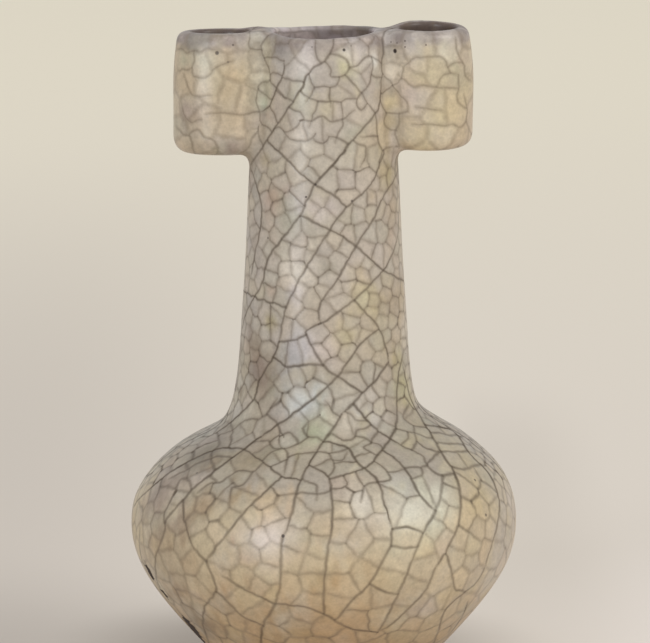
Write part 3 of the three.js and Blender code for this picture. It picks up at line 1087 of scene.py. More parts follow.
def settle_all(places):
    """Every place put on the nearest point of the glaze, with the way that the glaze faces there."""
    found = [skin_tree.find_nearest(place)[:2] for place in places.tolist()]
    return np.array([spot[:] for spot, _ in found]), np.array([facing[:] for _, facing in found])


def gathered(index, vectors, count):
    """The sum of the vectors that share an index, for each index."""
    return np.stack([np.bincount(index, vectors[:, k], count) for k in range(3)], 1)


net_places = np.array([place[:] for place in net.places])
links = np.array([pair for crack in net.cracks for pair in zip(crack["line"], crack["line"][1:])])
both = np.concatenate([links, links[:, ::-1]])
neighbours = np.bincount(both[:, 0], minlength=len(net_places))
point_give = np.where(np.arange(len(net_places)) < placed_points, placed_give, give)
point_give[neighbours < 2] = 0
for turn in range(rounds):
    mean = gathered(both[:, 0], net_places[both[:, 1]], len(net_places)) / np.maximum(neighbours, 1)[:, None]
    net_places += point_give[:, None] * (mean - net_places)
    if (turn + 1) % rounds_between == 0:
        net_places, net_facings = settle_all(net_places)
net_places, net_facings = settle_all(rippled(net_places, ripples))
print("net points:", len(net_places), "links:", len(links))

# %% [markdown]
# ## From the net to the faces
# A material can't look up a net, so each face is told which cracks cross it. For up to three cracks its
# corners hold how far across the crack's line they lie, and how far past its end, both in half widths of
# the crack. Both are exact over the whole face, so a crack is a sharp smooth line, however coarse the mesh.

# %% Widths and ink of the cracks
half_width = {"long": 0.27 * mm, "firm": 0.24 * mm, "faint": 0.22 * mm}
rank_ink = {"long": 0.80, "firm": 0.56, "faint": 0.30}
fade_length = 2.5 * mm
neck_blend = 66 * mm, 84 * mm


def place_ink(places):
    """How strongly the stain took: full on the shoulder, a little less on the neck, weak on the belly and
    the lugs, where it also breaks off and starts again."""
    low, belly = 1 - ease(16 * mm, 30 * mm, places[:, 2]), 1 - ease(36 * mm, 52 * mm, places[:, 2])
    neck = ease(*neck_blend, places[:, 2])
    lugs = ease(14 * mm, 18 * mm, np.abs(places[:, 0])) * ease(110 * mm, 116 * mm, places[:, 2])
    weak = np.maximum(belly, lugs)
    broken = ease(-0.9, 0.6, waves(places, 4.5 * mm, 14))
    patches = 1 + 0.10 * waves(places, 18 * mm, 11) + 0.20 * waves(places, 5 * mm, 13)
    strong = 0.95 - 0.27 * neck - 0.62 * weak + 0.30 * low
    return np.clip(strong * patches * (1 - (0.25 + 0.5 * weak) * (1 - broken)), 0, 1.3)


def place_width(places):
    """How wide a crack is for its kind: a little less on the neck, more on the sides of the shoulder, where
    the glaze is smoky, and more or less in waves."""
    neck = ease(*neck_blend, places[:, 2])
    smoky = ease(16 * mm, 28 * mm, np.abs(places[:, 0])) * ease(40 * mm, 50 * mm, places[:, 2]) * (1 - neck)
    wavy = np.clip(1 + 0.10 * waves(places, 7 * mm, 12) + 0.16 * waves(places, 2 * mm, 15), 0.6, 1.5)
    return wavy * (1 - 0.14 * neck + 0.5 * smoky)


base_ink = 0.44 + 0.56 * place_ink(net_places)
base_width = place_width(net_places)
segments = []
for number, crack in enumerate(net.cracks):
    line = np.array(crack["line"])
    if len(line) < 2:
        continue
    run = np.arange(len(line)) * step
    fade = np.ones(len(line))
    for is_open, from_end in zip(crack["open"], (run, run[::-1])):
        if is_open:
            fade = np.minimum(fade, 0.25 + from_end / fade_length)
    ink = base_ink[line] * rank_ink[crack["rank"]] * fade
    width = base_width[line] * half_width[crack["rank"]] * (0.5 + 0.5 * fade)
    place = np.arange(len(line) - 1)
    segments.append((
        np.stack([line[:-1], line[1:]], 1), np.full(len(place), number), (width[:-1] + width[1:]) / 2,
        (ink[:-1] + ink[1:]) / 2, place == 0, place == len(place) - 1,
    ))
segment_ends, segment_crack, segment_width, segment_ink, segment_first, segment_last = map(
    np.concatenate, zip(*segments)
)
segment_a, segment_b = net_places[segment_ends[:, 0]], net_places[segment_ends[:, 1]]
print("segments of long cracks:", len(segment_ends))


# %% Which long cracks cross a face
crossing_reach = 0.70 * mm


def tree_of(places):
    """A search tree of places."""
    tree = KDTree(len(places))
    for number, place in enumerate(places.tolist()):
        tree.insert(place, number)
    tree.balance()
    return tree


def distance_to_segments(places, a, b):
    """How far each place lies from its own segment."""
    way = b - a
    t = ((places - a) * way).sum(1) / ((way**2).sum(1) + 1e-18)
    return np.linalg.norm(places - a - way * np.clip(t, 0, 1)[:, None], axis=1)


def face_crossings():
    """Pairs of a face and a crack segment: for each face and each crack near it the nearest segment, in
    order of distance, with the place in that order, of which three are kept."""
    tree = tree_of(shell_middles)
    face, segment = [], []
    for number, middle in enumerate(((segment_a + segment_b) / 2).tolist()):
        found = [index for _, index, _ in tree.find_range(middle, crossing_reach + step / 2)]
        face += found
        segment += [number] * len(found)
    face, segment = np.array(face), np.array(segment)
    gap = distance_to_segments(shell_middles[face], segment_a[segment], segment_b[segment])
    facing = net_facings[segment_ends[segment, 0]]
    near = (gap < crossing_reach) & ((shell_normals[face] * facing).sum(1) > same_way)
    face, segment, gap = face[near], segment[near], gap[near]
    order = np.lexsort((gap, segment_crack[segment], face))
    face, segment, gap = face[order], segment[order], gap[order]
    crack = segment_crack[segment]
    first = np.ones(len(face), bool)
    first[1:] = (face[1:] != face[:-1]) | (crack[1:] != crack[:-1])
    face, segment, gap = face[first], segment[first], gap[first]
    order = np.lexsort((gap, face))
    face, segment = face[order], segment[order]
    place = np.arange(len(face)) - np.searchsorted(face, face, side="left")
    keep = place < 3
    return face[keep], segment[keep], place[keep]


cross_face, cross_segment, cross_place = face_crossings()
far = 9.0
across_values = np.full((len(shell_faces), 4, 3), far)
past_values = np.full((len(shell_faces), 4, 3), -far)
ink_values = np.zeros((len(shell_faces), 3))
origin = segment_a[cross_segment]
way = segment_b[cross_segment] - origin
length = np.linalg.norm(way, axis=1)
way /= length[:, None] + 1e-12
sideways = unit(np.cross(shell_normals[cross_face], way))


def beyond_end(along, first, last, length):
    """How far past an end of its crack a place lies: less than nothing along the crack. A segment in the
    middle of a crack has no end."""
    before = np.where(first, -along, -far * mm)
    beyond = np.where(last, along - length, -far * mm)
    return np.maximum(before, beyond)


corner = shell_places[shell_faces[cross_face]] - origin[:, None, :]
first, last = segment_first[cross_segment], segment_last[cross_segment]
past = beyond_end((corner * way[:, None, :]).sum(2), first[:, None], last[:, None], length[:, None])
width = segment_width[cross_segment][:, None]
across_values[cross_face, :, cross_place] = (corner * sideways[:, None, :]).sum(2) / width
past_values[cross_face, :, cross_place] = past / width
ink_values[cross_face, cross_place] = segment_ink[cross_segment]
print("faces with a long crack:", len(np.unique(cross_face)))

# %% [markdown]
# ## The cells
# Between the long cracks the glaze breaks into small round cells, like froth. A seed stands in the middle
# of each, and each face takes the seed that is nearest among those it can reach without crossing a long
# crack. A seed may be stronger than its neighbour and take more, so cells differ in size. Then each seed
# moves to the middle of its cell and the faces choose again, which rounds the cells.

# %% Faces beside faces
seam_reach = 0.6 * mm
crossing_slack = 0.4 * mm
edge_ends = np.sort(np.stack([shell_faces, np.roll(shell_faces, -1, 1)], -1), -1).reshape(-1, 2)


def faces_beside():
    """For each face and each of its edges, the face on the other side. At a seam between two pieces that is
    the face with the nearest edge. Where there is none, it is the face itself."""
    owner = np.repeat(np.arange(len(shell_faces)), 4)
    beside = owner.copy()
    code = edge_ends[:, 0] * len(shell_places) + edge_ends[:, 1]
    order = np.argsort(code, kind="stable")
    twin = code[order][1:] == code[order][:-1]
    one, other = order[:-1][twin], order[1:][twin]
    beside[one], beside[other] = owner[other], owner[one]
    alone = np.flatnonzero((beside == owner) & (edge_ends[:, 0] != edge_ends[:, 1]))
    middles = shell_places[edge_ends[alone]].mean(1)
    piece = np.searchsorted([skins[name]["start"] for name in glazed], edge_ends[alone, 0], side="right")
    for number in np.unique(piece):
        others = np.flatnonzero(piece != number)
        tree = tree_of(middles[others])
        for mine in np.flatnonzero(piece == number):
            _, index, gap = tree.find(middles[mine])
            if gap < seam_reach:
                beside[alone[mine]] = owner[alone[others[index]]]
    return beside.reshape(-1, 4)


def long_crack_between(beside):
    """True for each face and edge where a long crack runs between the middles of the two faces."""
    total = len(shell_faces)
    mine = shell_middles[cross_face] - origin
    apart = []
    for k in range(4):
        other = beside[cross_face, k]
        theirs = shell_middles[other] - origin
        turned = (mine * sideways).sum(1) * (theirs * sideways).sum(1) < 0
        along = ((mine + theirs) / 2 * way).sum(1)
        inside = beyond_end(along, first, last, length) < 0
        near = np.abs(along - length / 2) < length / 2 + crossing_slack
        pair = np.minimum(cross_face, other) * total + np.maximum(cross_face, other)
        apart.append(pair[turned & inside & near])
    face = np.arange(total)[:, None]
    return np.isin(np.minimum(face, beside) * total + np.maximum(face, beside), np.concatenate(apart))


beside = faces_beside()
open_beside = np.where(long_crack_between(beside), np.arange(len(shell_faces))[:, None], beside)
print("pairs of faces that a long crack parts:", int((open_beside != beside).sum()) // 2)

# %% Seeds of the cells
lug_start = 15 * mm
neck_cell, shoulder_cell, belly_cell, lug_cell = 2.9 * mm, 2.7 * mm, 4.6 * mm, 5.5 * mm
placed_cell = 4.0 * mm
placed_level = rim_level - 27 * mm
lug_foot = rim_level - 28 * mm
cell_variety = (0.65, 1.45)
cell_tries, group_tries = 26000, 6000
strength = 0.10
froth_ripples = ((2.6 * mm, 0.17 * mm), (1.2 * mm, 0.07 * mm))
firm_spacing = 2.6


def cell_size(place, facing):
    """How far apart the seeds stand at a place: close on the shoulder, wider on the lugs and the belly, and
    wide too where the photograph's own short cracks already part the cells."""
    if abs(place.x) > lug_start and place.z > lug_foot:
        return lug_cell
    if place.z > neck_foot:
        return placed_cell if place.z > placed_level and in_view(place, facing) else neck_cell
    share = min(1.0, max(0.0, (46 * mm - place.z) / (12 * mm)))
    top = placed_cell if in_view(place, facing) and place.z < neck_foot - 6 * mm else shoulder_cell
    return top + (belly_cell - top) * share


def strew(tries, spacing):
    """Seeds in a random order on the glaze, each kept if it is far enough from all before it on a wall that
    faces the same way. Returns their places, the faces that they stand on, and their sizes."""
    kept, facings, faces, sizes = np.zeros((0, 3)), np.zeros((0, 3)), [], []
    for face in dice.integers(0, len(shell_faces), tries):
        place, facing = shell_middles[face], shell_normals[face]
        size = cell_size(Vector(place), Vector(facing)) * spacing * dice.uniform(*cell_variety)
        close = np.abs(kept - place).max(1) < size
        near = np.flatnonzero(close)
        gap = np.linalg.norm(kept[near] - place, axis=1)
        room = (size + np.array(sizes)[near]) / 2 if len(near) else gap
        if ((gap < room) & (facings[near] @ facing > same_way)).any():
            continue
        kept = np.concatenate([kept, place[None]])
        facings = np.concatenate([facings, facing[None]])
        faces.append(face)
        sizes.append(size)
    return kept, np.array(faces), np.array(sizes)


froth_places = rippled(shell_places, froth_ripples)
froth_middles = froth_places[shell_faces].mean(1)
_, seed_faces, seed_sizes = strew(cell_tries, 1.0)
seed_places = froth_middles[seed_faces]
print("seeds:", len(seed_faces))

# %% Each face takes a seed
spread_rounds = 24
calm_rounds, calm_spread = 2, 8


def pull_of(middles, seed):
    """How far a seed is from a place, squared, less the seed's strength. The least wins."""
    return ((middles - seed_places[seed]) ** 2).sum(1) - strength * seed_sizes[seed] ** 2


def spread(own, count):
    """Faces take over the seed of a face beside them where it is nearer than their own, over and over."""
    held = np.where(own >= 0, pull_of(froth_middles, own), np.inf)
    for _ in range(count):
        for k in range(4):
            new = own[open_beside[:, k]]
            value = np.where(new >= 0, pull_of(froth_middles, new), np.inf)
            take = value < held - 1e-14
            own[take], held[take] = new[take], value[take]
    return own


own = np.full(len(shell_faces), -1)
own[seed_faces] = np.arange(len(seed_faces))
own = spread(own, spread_rounds)
for _ in range(calm_rounds):
    has = own >= 0
    count = np.maximum(np.bincount(own[has], minlength=len(seed_places)), 1)
    seed_places = gathered(own[has], froth_middles[has], len(seed_places)) / count[:, None]
    own = spread(own, calm_spread)
print("faces without a seed:", int((own < 0).sum()))


# %% The walls between the cells
def nearest_seeds(hops):
    """For each face its own seed and the next two, from the faces within some hops of it."""
    seeds_near = np.stack([own, np.full(len(own), -1), np.full(len(own), -1)], 1)
    pulls = np.full((len(own), 3), np.inf)
    for hop in range(hops):
        before = seeds_near.copy()
        for k in range(4):
            for column in range(1 if hop == 0 else 3):
                new = before[open_beside[:, k], column]
                fresh = (new >= 0) & (own >= 0) & (new[:, None] != seeds_near).all(1)
                value = np.where(fresh, pull_of(froth_middles, new), np.inf)
                second = value < pulls[:, 1]
                third = ~second & (value < pulls[:, 2])
                seeds_near[second, 2], pulls[second, 2] = seeds_near[second, 1], pulls[second, 1]
                seeds_near[second, 1], pulls[second, 1] = new[second], value[second]
                seeds_near[third, 2], pulls[third, 2] = new[third], value[third]
    return seeds_near


def wall_line(face, a, b):
    """How far each corner of a face lies beyond the wall between the cells of seeds a and b, on b's side.
    The wall is where both seeds pull alike, and the difference of two squared distances is linear."""
    corner = froth_places[shell_faces[face]]
    to_a = ((corner - seed_places[a][:, None]) ** 2).sum(2) - strength * seed_sizes[a][:, None] ** 2
    to_b = ((corner - seed_places[b][:, None]) ** 2).sum(2) - strength * seed_sizes[b][:, None] ** 2
    return (to_a - to_b) / (2 * np.linalg.norm(seed_places[a] - seed_places[b], axis=1))[:, None]


near_limit = 1.5 * mm
wall_reach = 0.5 * mm
placed_ink = 0.6
pair_variety, pair_count = (0.72, 1.18), 4096
near_seeds = nearest_seeds(3)
coarse_places, _, _ = strew(group_tries, firm_spacing)
coarse_tree = tree_of(coarse_places)
seed_group = np.array([coarse_tree.find(place)[1] for place in seed_places.tolist()])
pair_ink = dice.uniform(*pair_variety, pair_count)
used = np.zeros(len(shell_faces), int)
np.maximum.at(used, cross_face, cross_place + 1)
wall_gaps = np.full((len(shell_faces), 4), near_limit)
to_camera = unit(np.array(camera.location) - shell_middles)
placed = ((shell_normals * to_camera).sum(1) > same_way) & (shell_middles[:, 2] > placed_level)
middle_ink = place_ink(shell_middles) * np.where(placed, placed_ink, 1.0)
corner_width = place_width(shell_places)[shell_faces]
crossed = np.full(len(shell_faces), -1)
crossed[cross_face[cross_place == 0]] = np.flatnonzero(cross_place == 0)
for one, two, rest in ((0, 1, 2), (0, 2, 1), (1, 2, 0)):
    face = np.flatnonzero((near_seeds[:, one] >= 0) & (near_seeds[:, two] >= 0))
    a, b, c = near_seeds[face, one], near_seeds[face, two], near_seeds[face, rest]
    across = wall_line(face, a, b)
    past = np.full(across.shape, -far * mm)
    third = np.flatnonzero(c >= 0)
    past[third] = wall_line(face[third], a[third], c[third])
    wall_gaps[face] = np.minimum(wall_gaps[face], np.maximum(np.abs(across), past))
    cut = np.flatnonzero(crossed[face] >= 0)
    number = crossed[face[cut]]
    ahead = (shell_places[shell_faces[face[cut]]] - origin[number][:, None]) * sideways[number][:, None]
    middle = ((shell_middles[face[cut]] - origin[number]) * sideways[number]).sum(1)
    past[cut] = np.maximum(past[cut], ahead.sum(2) * -np.sign(middle)[:, None])
    reaches = (np.abs(across).min(1) < wall_reach) | (across.min(1) * across.max(1) < 0)
    room = reaches & (used[face] < 3)
    face, across, past, a, b = face[room], across[room], past[room], a[room], b[room]
    firm = seed_group[a] != seed_group[b]
    width = np.where(firm, half_width["firm"], half_width["faint"])[:, None] * corner_width[face]
    ink = middle_ink[face] * np.where(firm, rank_ink["firm"], rank_ink["faint"])
    ink *= pair_ink[(np.minimum(a, b) * 31 + np.maximum(a, b) * 17) % pair_count]
    slot = used[face]
    across_values[face, :, slot] = across / width
    past_values[face, :, slot] = past / width
    ink_values[face, slot] = ink
    used[face] += 1
print("faces with a wall between cells:", int((used > 0).sum()))

# %% What each vertex knows
fill_rounds = 8


def long_crack_gap():
    """How far each vertex of the shell lies from the nearest long crack on its own side of the wall."""
    fine = np.concatenate([segment_a, (segment_a + segment_b) / 2])
    facing = np.tile(net_facings[segment_ends[:, 0]], (2, 1))
    lift = 3 * mm
    tree = tree_of(fine + facing * lift)
    vertex_facing = sum(gathered(shell_faces[:, k], shell_normals, len(shell_places)) for k in range(4))
    lifted = shell_places + unit(vertex_facing) * lift
    used = np.unique(shell_faces)
    distance = np.full(len(shell_places), near_limit)
    distance[used] = [tree.find(place)[2] for place in lifted[used].tolist()]
    return np.minimum(distance, near_limit)


def on_vertices(face_values):
    """Values of faces as the mean at each vertex."""
    every = len(shell_places)
    total = sum(np.bincount(shell_faces[:, k], face_values, every) for k in range(4))
    count = sum(np.bincount(shell_faces[:, k], minlength=every) for k in range(4))
    return total / np.maximum(count, 1)


for _ in range(fill_rounds):
    for k in range(4):
        own = np.where(own < 0, own[beside[:, k]], own)
near_values = long_crack_gap()
np.minimum.at(near_values, shell_faces.ravel(), wall_gaps.ravel())
near_values /= near_limit
tint_values = np.stack([on_vertices(dice.uniform(-1, 1, len(seed_places))[own]) for _ in range(3)], 1)
print("vertices near a crack:", int((near_values < 0.5).sum()))

# %% [markdown]
# ## Small marks
# The glaze has pinholes where gas escaped, dark specks along some cracks, and on the lower left three
# streaks where it crawled away from the dark clay. Those that the photograph shows have their places there,
# and others are strewn over the sides that it doesn't show.

# %% Pinholes and specks
# Where each lies in the picture, its radius in mm, and how dark it is
pinholes = {
    "left lug, upper": ((233, 45), 0.36, 0.6),
    "left lug": ((217, 53), 0.62, 0.75),
    "left lug, speck": ((228, 62), 0.40, 0.4),
    "lip": ((344, 50), 0.50, 0.9),
    "beside the right lug": ((395, 51), 0.66, 1.0),
    "right lug, left": ((388, 29), 0.28, 0.7),
    "right lug, over": ((405, 41), 0.26, 0.8),
    "right lug, under": ((405, 47), 0.26, 0.8),
    "right lug, upper left": ((393, 30), 0.28, 0.6),
    "right lug, right": ((426, 45), 0.28, 0.7),
    "right joint, left": ((391, 42), 0.26, 0.6),
    "right joint, right": ((397, 43), 0.24, 0.6),
    "lip, left": ((312, 47), 0.26, 0.5),
    "lip, right": ((351, 46), 0.24, 0.5),
    "first long crack": ((315.6, 184.5), 0.36, 0.8),
    "below it": ((306, 197), 0.32, 0.9),
    "neck, right": ((352, 201), 0.42, 0.6),
    "neck, left": ((268, 238), 0.34, 0.6),
    "shoulder, upper": ((316, 416), 0.34, 0.7),
    "shoulder, upper right": ((320, 415), 0.28, 0.6),
    "belly crack": ((283, 536), 0.50, 0.8),
    "belly, right": ((486, 515), 0.42, 0.7),
    "belly, far right": ((475, 480), 0.34, 0.7),
    "shoulder, left": ((197, 473), 0.34, 0.6),
}
strewn, strewn_radius, strewn_ink = 70, (0.18, 0.42), (0.4, 0.9)
pits = [
    (*sighted(pixel), radius * mm, ink) for pixel, radius, ink in pinholes.values() if sighted(pixel)
]
for place, facing in seeds(strewn * 3):
    if not in_view(place, facing) and len(pits) < len(pinholes) + strewn:
        pits.append((place, facing, dice.uniform(*strewn_radius) * mm, dice.uniform(*strewn_ink)))

pit_values = np.full((len(shell_faces), 4, 3), far)
pit_values[:, :, 2] = 0
middle_tree = tree_of(shell_middles)
for place, facing, radius, ink in pits:
    for _, face, _ in middle_tree.find_range(place, 3 * radius + 0.4 * mm):
        side = np.array(facing.orthogonal())
        up = np.cross(facing, side)
        offset = shell_places[shell_faces[face]] - np.array(place)
        pit_values[face] = np.stack([offset @ side / radius, offset @ up / radius, np.full(4, ink)], 1)
print("pinholes and specks:", len(pits))

# %% Streaks of bare clay
streaks = {
    "upper": ((147, 568), (150, 573), 1.5 * mm),
    "middle": ((163, 592), (166, 596), 1.2 * mm),
    "lower": ((188, 623), (200, 638), 2.1 * mm),
}


def first_sight(pixel, inward=0.5, tries=12):
    """The glaze at a pixel, or a little to the right of it where the line of sight only just misses."""
    for number in range(tries):
        found = sighted((pixel[0] + inward * number, pixel[1]))
        if found:
            return np.array(found[0])
    return None


bare_values = np.full(len(shell_places), far)
for top, bottom, radius in streaks.values():
    a, b = first_sight(top), first_sight(bottom)
    gap = distance_to_segments(shell_places, a, b[None, :].repeat(len(shell_places), 0))
    rough = 1 + 0.45 * waves(shell_places, 2.0 * mm, 21)
    bare_values = np.minimum(bare_values, gap / (radius * np.maximum(rough, 0.3)))
print("vertices on bare streaks:", int((bare_values < 1).sum()))

# %% [markdown]
# Glaze is never one colour. The photograph shows patches where it ran thin and warm, where it pooled and
# went green or pale, and where soot darkened it. Other patches are painted light and shade: painted
# highlights and reflections where the lamps shine on the glaze, painted light in the creases beside the
# lugs, and painted shade on the left side, at the neck's edges and in the mouth. Each has a place in the
# picture, a size and a colour.

# %% Patches of colour, painted light and painted shade
# Where each lies in the picture, its radius in mm, its colour, and how much of it shows
left_lug_patches = {
    "ochre": ((229, 92), 5.5, (189, 169, 137), 0.75),
    "ochre below": ((231, 124), 5.0, (188, 170, 144), 0.65),
    "outer side": ((188, 112), 3.6, (172, 152, 140), 0.75),
    "outer side below": ((190, 142), 3.4, (182, 168, 142), 0.6),
    "outer side above": ((184, 60), 2.6, (176, 172, 148), 0.7),
    # Painted highlight: the soft shine down the left lug, in four pale patches
    "pale": ((205, 62), 3.2, (213, 205, 181), 0.75),
    "pale, middle": ((205, 88), 2.6, (216, 202, 184), 0.8),
    "pale, lower": ((206, 110), 2.8, (212, 198, 180), 0.8),
    "pale, lowest": ((211, 132), 2.6, (210, 196, 176), 0.6),
    # Painted highlight and painted light in the crease where the left lug joins the neck, where shade falls
    "joint, pale over": ((256, 54), 2.4, (204, 196, 174), 0.7),
    "joint, pale": ((256, 74), 3.2, (230, 222, 200), 0.85),
    "joint, pale middle": ((253, 98), 3.0, (222, 210, 184), 0.85),
    "joint, pale lower": ((252, 130), 3.6, (244, 228, 204), 0.85),
    "brown below": ((232, 148), 2.4, (152, 134, 122), 0.8),
    "beside the lug, green": ((264, 103), 1.9, (190, 202, 178), 0.85),
    "beside the lug, grey": ((266, 87), 2.0, (172, 172, 154), 0.8),
    "beside the lug, dark": ((262, 130), 5.0, (172, 156, 138), 0.5),
    "smoky lip": ((190, 42), 2.6, (146, 136, 126), 0.85),
    "smoky lip on": ((207, 40), 2.4, (156, 146, 134), 0.85),
    "grey": ((240, 48), 2.8, (186, 176, 166), 0.7),
    "pale joint": ((255, 42), 3.0, (204, 197, 178), 0.7),
}
lip_patches = {
    "under it, yellow": ((345, 68), 2.4, (200, 191, 147), 0.7),
    "under it, pale": ((304, 62), 3.0, (224, 214, 200), 0.8),
    "under it, pale right": ((353, 58), 1.8, (224, 212, 198), 0.8),
    "grey": ((322, 46), 3.6, (172, 161, 152), 0.75),
    "pale": ((356, 50), 3.6, (206, 197, 188), 0.75),
    "pale right": ((374, 60), 2.2, (238, 234, 226), 0.85),
    "smoky": ((280, 48), 3.0, (150, 141, 134), 0.85),
    "smoky right": ((383, 42), 2.4, (168, 159, 156), 0.7),
}
neck_patches = {
    "warm right": ((372, 150), 7.0, (189, 174, 145), 0.5),
    # Painted highlight: the soft shine down the neck, a little left of the middle
    "pale middle": ((294, 270), 4.4, (228, 217, 202), 0.85),
    "lilac": ((300, 345), 4.0, (190, 184, 184), 0.65),
    "rose middle": ((323, 352), 3.2, (210, 196, 186), 0.7),
    "pale right": ((353, 262), 4.6, (204, 191, 176), 0.5),
    "blue grey": ((292, 358), 2.6, (168, 166, 162), 0.7),
    "lilac under the first": ((314, 208), 2.8, (208, 196, 192), 0.7),
    "lilac left": ((294, 292), 2.2, (194, 186, 188), 0.6),
    # Partly grey glaze, partly painted shade at the neck's left edge, where it turns from the light
    "grey left edge": ((251, 240), 5.0, (172, 163, 157), 0.65),
    "grey left edge below": ((247, 315), 5.0, (158, 149, 142), 0.65),
    "yellow right": ((369, 294), 3.0, (200, 187, 150), 0.75),
    "yellow lower": ((350, 337), 2.8, (196, 183, 150), 0.7),
    "olive lower left": ((270, 322), 2.2, (178, 164, 122), 0.75),
    "moss middle": ((329, 268), 2.4, (170, 162, 144), 0.7),
    "rose lower": ((272, 291), 2.0, (190, 168, 150), 0.7),
    "olive right": ((378, 318), 9.0, (187, 174, 143), 0.6),
    "brown left": ((259, 370), 4.5, (142, 124, 110), 0.75),
    "brown left over": ((254, 346), 3.6, (146, 130, 114), 0.7),
    # Painted highlight at the root of the neck
    "root, blue": ((302, 402), 4.0, (202, 208, 210), 0.7),
    "root, yellow": ((404, 385), 4.0, (185, 178, 130), 0.6),
    # Painted highlight: the same shine higher up the neck
    "pale line": ((300, 140), 2.6, (212, 204, 190), 0.7),
    "pale line below": ((300, 205), 2.6, (206, 196, 186), 0.7),
    "rose left": ((272, 196), 2.4, (178, 154, 136), 0.7),
    "olive upper": ((326, 110), 2.4, (194, 182, 150), 0.6),
    "olive edge": ((388, 172), 3.0, (174, 160, 126), 0.7),
    "olive left": ((266, 160), 2.6, (176, 162, 132), 0.7),
    # Partly brown glaze, partly painted shade at the neck's right edge, where it turns from the light
    "brown edge": ((392, 215), 5.0, (172, 154, 128), 0.6),
    "brown edge below": ((397, 300), 6.0, (172, 154, 130), 0.6),
}
shoulder_patches = {
    "green": ((312, 432), 4.0, (168, 176, 145), 0.6),
    "pale": ((346, 425), 5.0, (206, 200, 185), 0.5),
    # Painted shade: the left side of the shoulder, turned from the light, made darker
    "painted shade left": ((205, 452), 8.0, (120, 110, 96), 0.75),
    "soot middle": ((250, 460), 6.0, (142, 126, 102), 0.65),
    "pale front": ((362, 500), 4.4, (222, 210, 192), 0.75),
    "ochre front": ((268, 500), 4.6, (206, 180, 138), 0.6),
    "olive right": ((425, 440), 9.0, (174, 162, 134), 0.5),
    "olive far right": ((466, 462), 7.0, (194, 177, 145), 0.65),
    # Painted reflection: the grey sheen at the shoulder's right edge, where the glaze turns away
    "grey far right": ((466, 437), 6.0, (180, 168, 154), 0.75),
}
belly_patches = {
    "ochre left": ((206, 502), 5.0, (158, 136, 106), 0.6),
    # Partly pale green glaze, partly a painted highlight of the right softbox
    "pale green": ((412, 516), 8.0, (206, 204, 183), 0.6),
    "pale green right": ((440, 495), 4.5, (216, 210, 190), 0.75),
    # A painted reflection of the left window on the belly
    "shine left": ((268, 541), 6.5, (222, 208, 196), 0.75),
    "ochre right": ((478, 500), 5.0, (198, 180, 138), 0.6),
    # Painted shade: the left side of the belly, turned from the light, made darker
    "rose far left": ((160, 495), 8.0, (160, 142, 130), 0.65),
    "dark far left": ((165, 560), 11.0, (164, 145, 120), 0.6),
    "smudge": ((322, 578), 3.0, (168, 147, 113), 0.6),
    # Painted reflection: the grey sheen at the belly's right edge, where the glaze turns away
    "grey far right": ((511, 507), 8.0, (190, 177, 162), 0.8),
    "grey low right": ((500, 560), 8.0, (186, 174, 160), 0.75),
}
foot_patches = {
    "rust": ((330, 632), 15.0, (178, 143, 101), 0.6),
    "rust left": ((235, 612), 11.0, (174, 143, 105), 0.5),
    "smoky left": ((200, 622), 5.0, (126, 110, 92), 0.75),
}
right_lug_patches = {
    "joint, lilac": ((385, 35), 1.8, (208, 198, 190), 0.8),
    "lilac": ((410, 95), 3.6, (202, 184, 170), 0.75),
    "lilac below": ((420, 116), 3.4, (206, 190, 168), 0.7),
    "yellow": ((448, 112), 6.0, (209, 192, 154), 0.7),
    "olive below": ((420, 137), 4.0, (206, 192, 160), 0.65),
    # Painted light in the crease where the right lug joins the neck, where shade falls; the olive is the
    # glaze's own
    "joint, pale": ((392, 70), 3.2, (228, 214, 194), 0.85),
    "olive left": ((391, 102), 2.6, (212, 196, 156), 0.8),
    "olive left below": ((390, 121), 2.4, (200, 184, 150), 0.8),
    "pale": ((430, 72), 3.6, (214, 200, 168), 0.65),
    "grey outer": ((458, 77), 3.0, (176, 168, 146), 0.6),
    "pale green": ((444, 50), 3.0, (210, 205, 184), 0.8),
    "lilac over": ((410, 46), 2.8, (188, 178, 172), 0.8),
    "lilac lip": ((452, 34), 2.2, (184, 174, 168), 0.7),
    "dark corner": ((463, 36), 1.8, (156, 142, 128), 0.7),
}
# Painted light and painted shade inside the mouth: paler on the left, darker towards the right
mouth_patches = {
    "pale left": ((298, 34), 4.5, (206, 193, 190), 0.75),
    "dark middle": ((342, 34), 3.0, (172, 158, 156), 0.7),
    "brown right": ((364, 32), 3.2, (100, 90, 80), 0.8),
}
# The far side of the lip, inside the mouth, has painted shade, from a little on the left to almost black on
# the right
far_lip_shade_pixels, far_lip_shade_row, far_lip_shade_radius = range(278, 372, 6), 28, 1.3
far_lip_shade_ends = np.array((208, 196, 193)), np.array((104, 93, 86))
for number, across in enumerate(far_lip_shade_pixels):
    share = number / (len(far_lip_shade_pixels) - 1)
    smoky = far_lip_shade_ends[0] * (1 - share) + far_lip_shade_ends[1] * share
    lip_patches[f"far side {number}"] = ((across, far_lip_shade_row), far_lip_shade_radius, smoky, 0.9)
patch_groups = (
    left_lug_patches, lip_patches, neck_patches, shoulder_patches, belly_patches, foot_patches,
    mouth_patches, right_lug_patches,
)
patches = [patch for group in patch_groups for patch in group.values()]

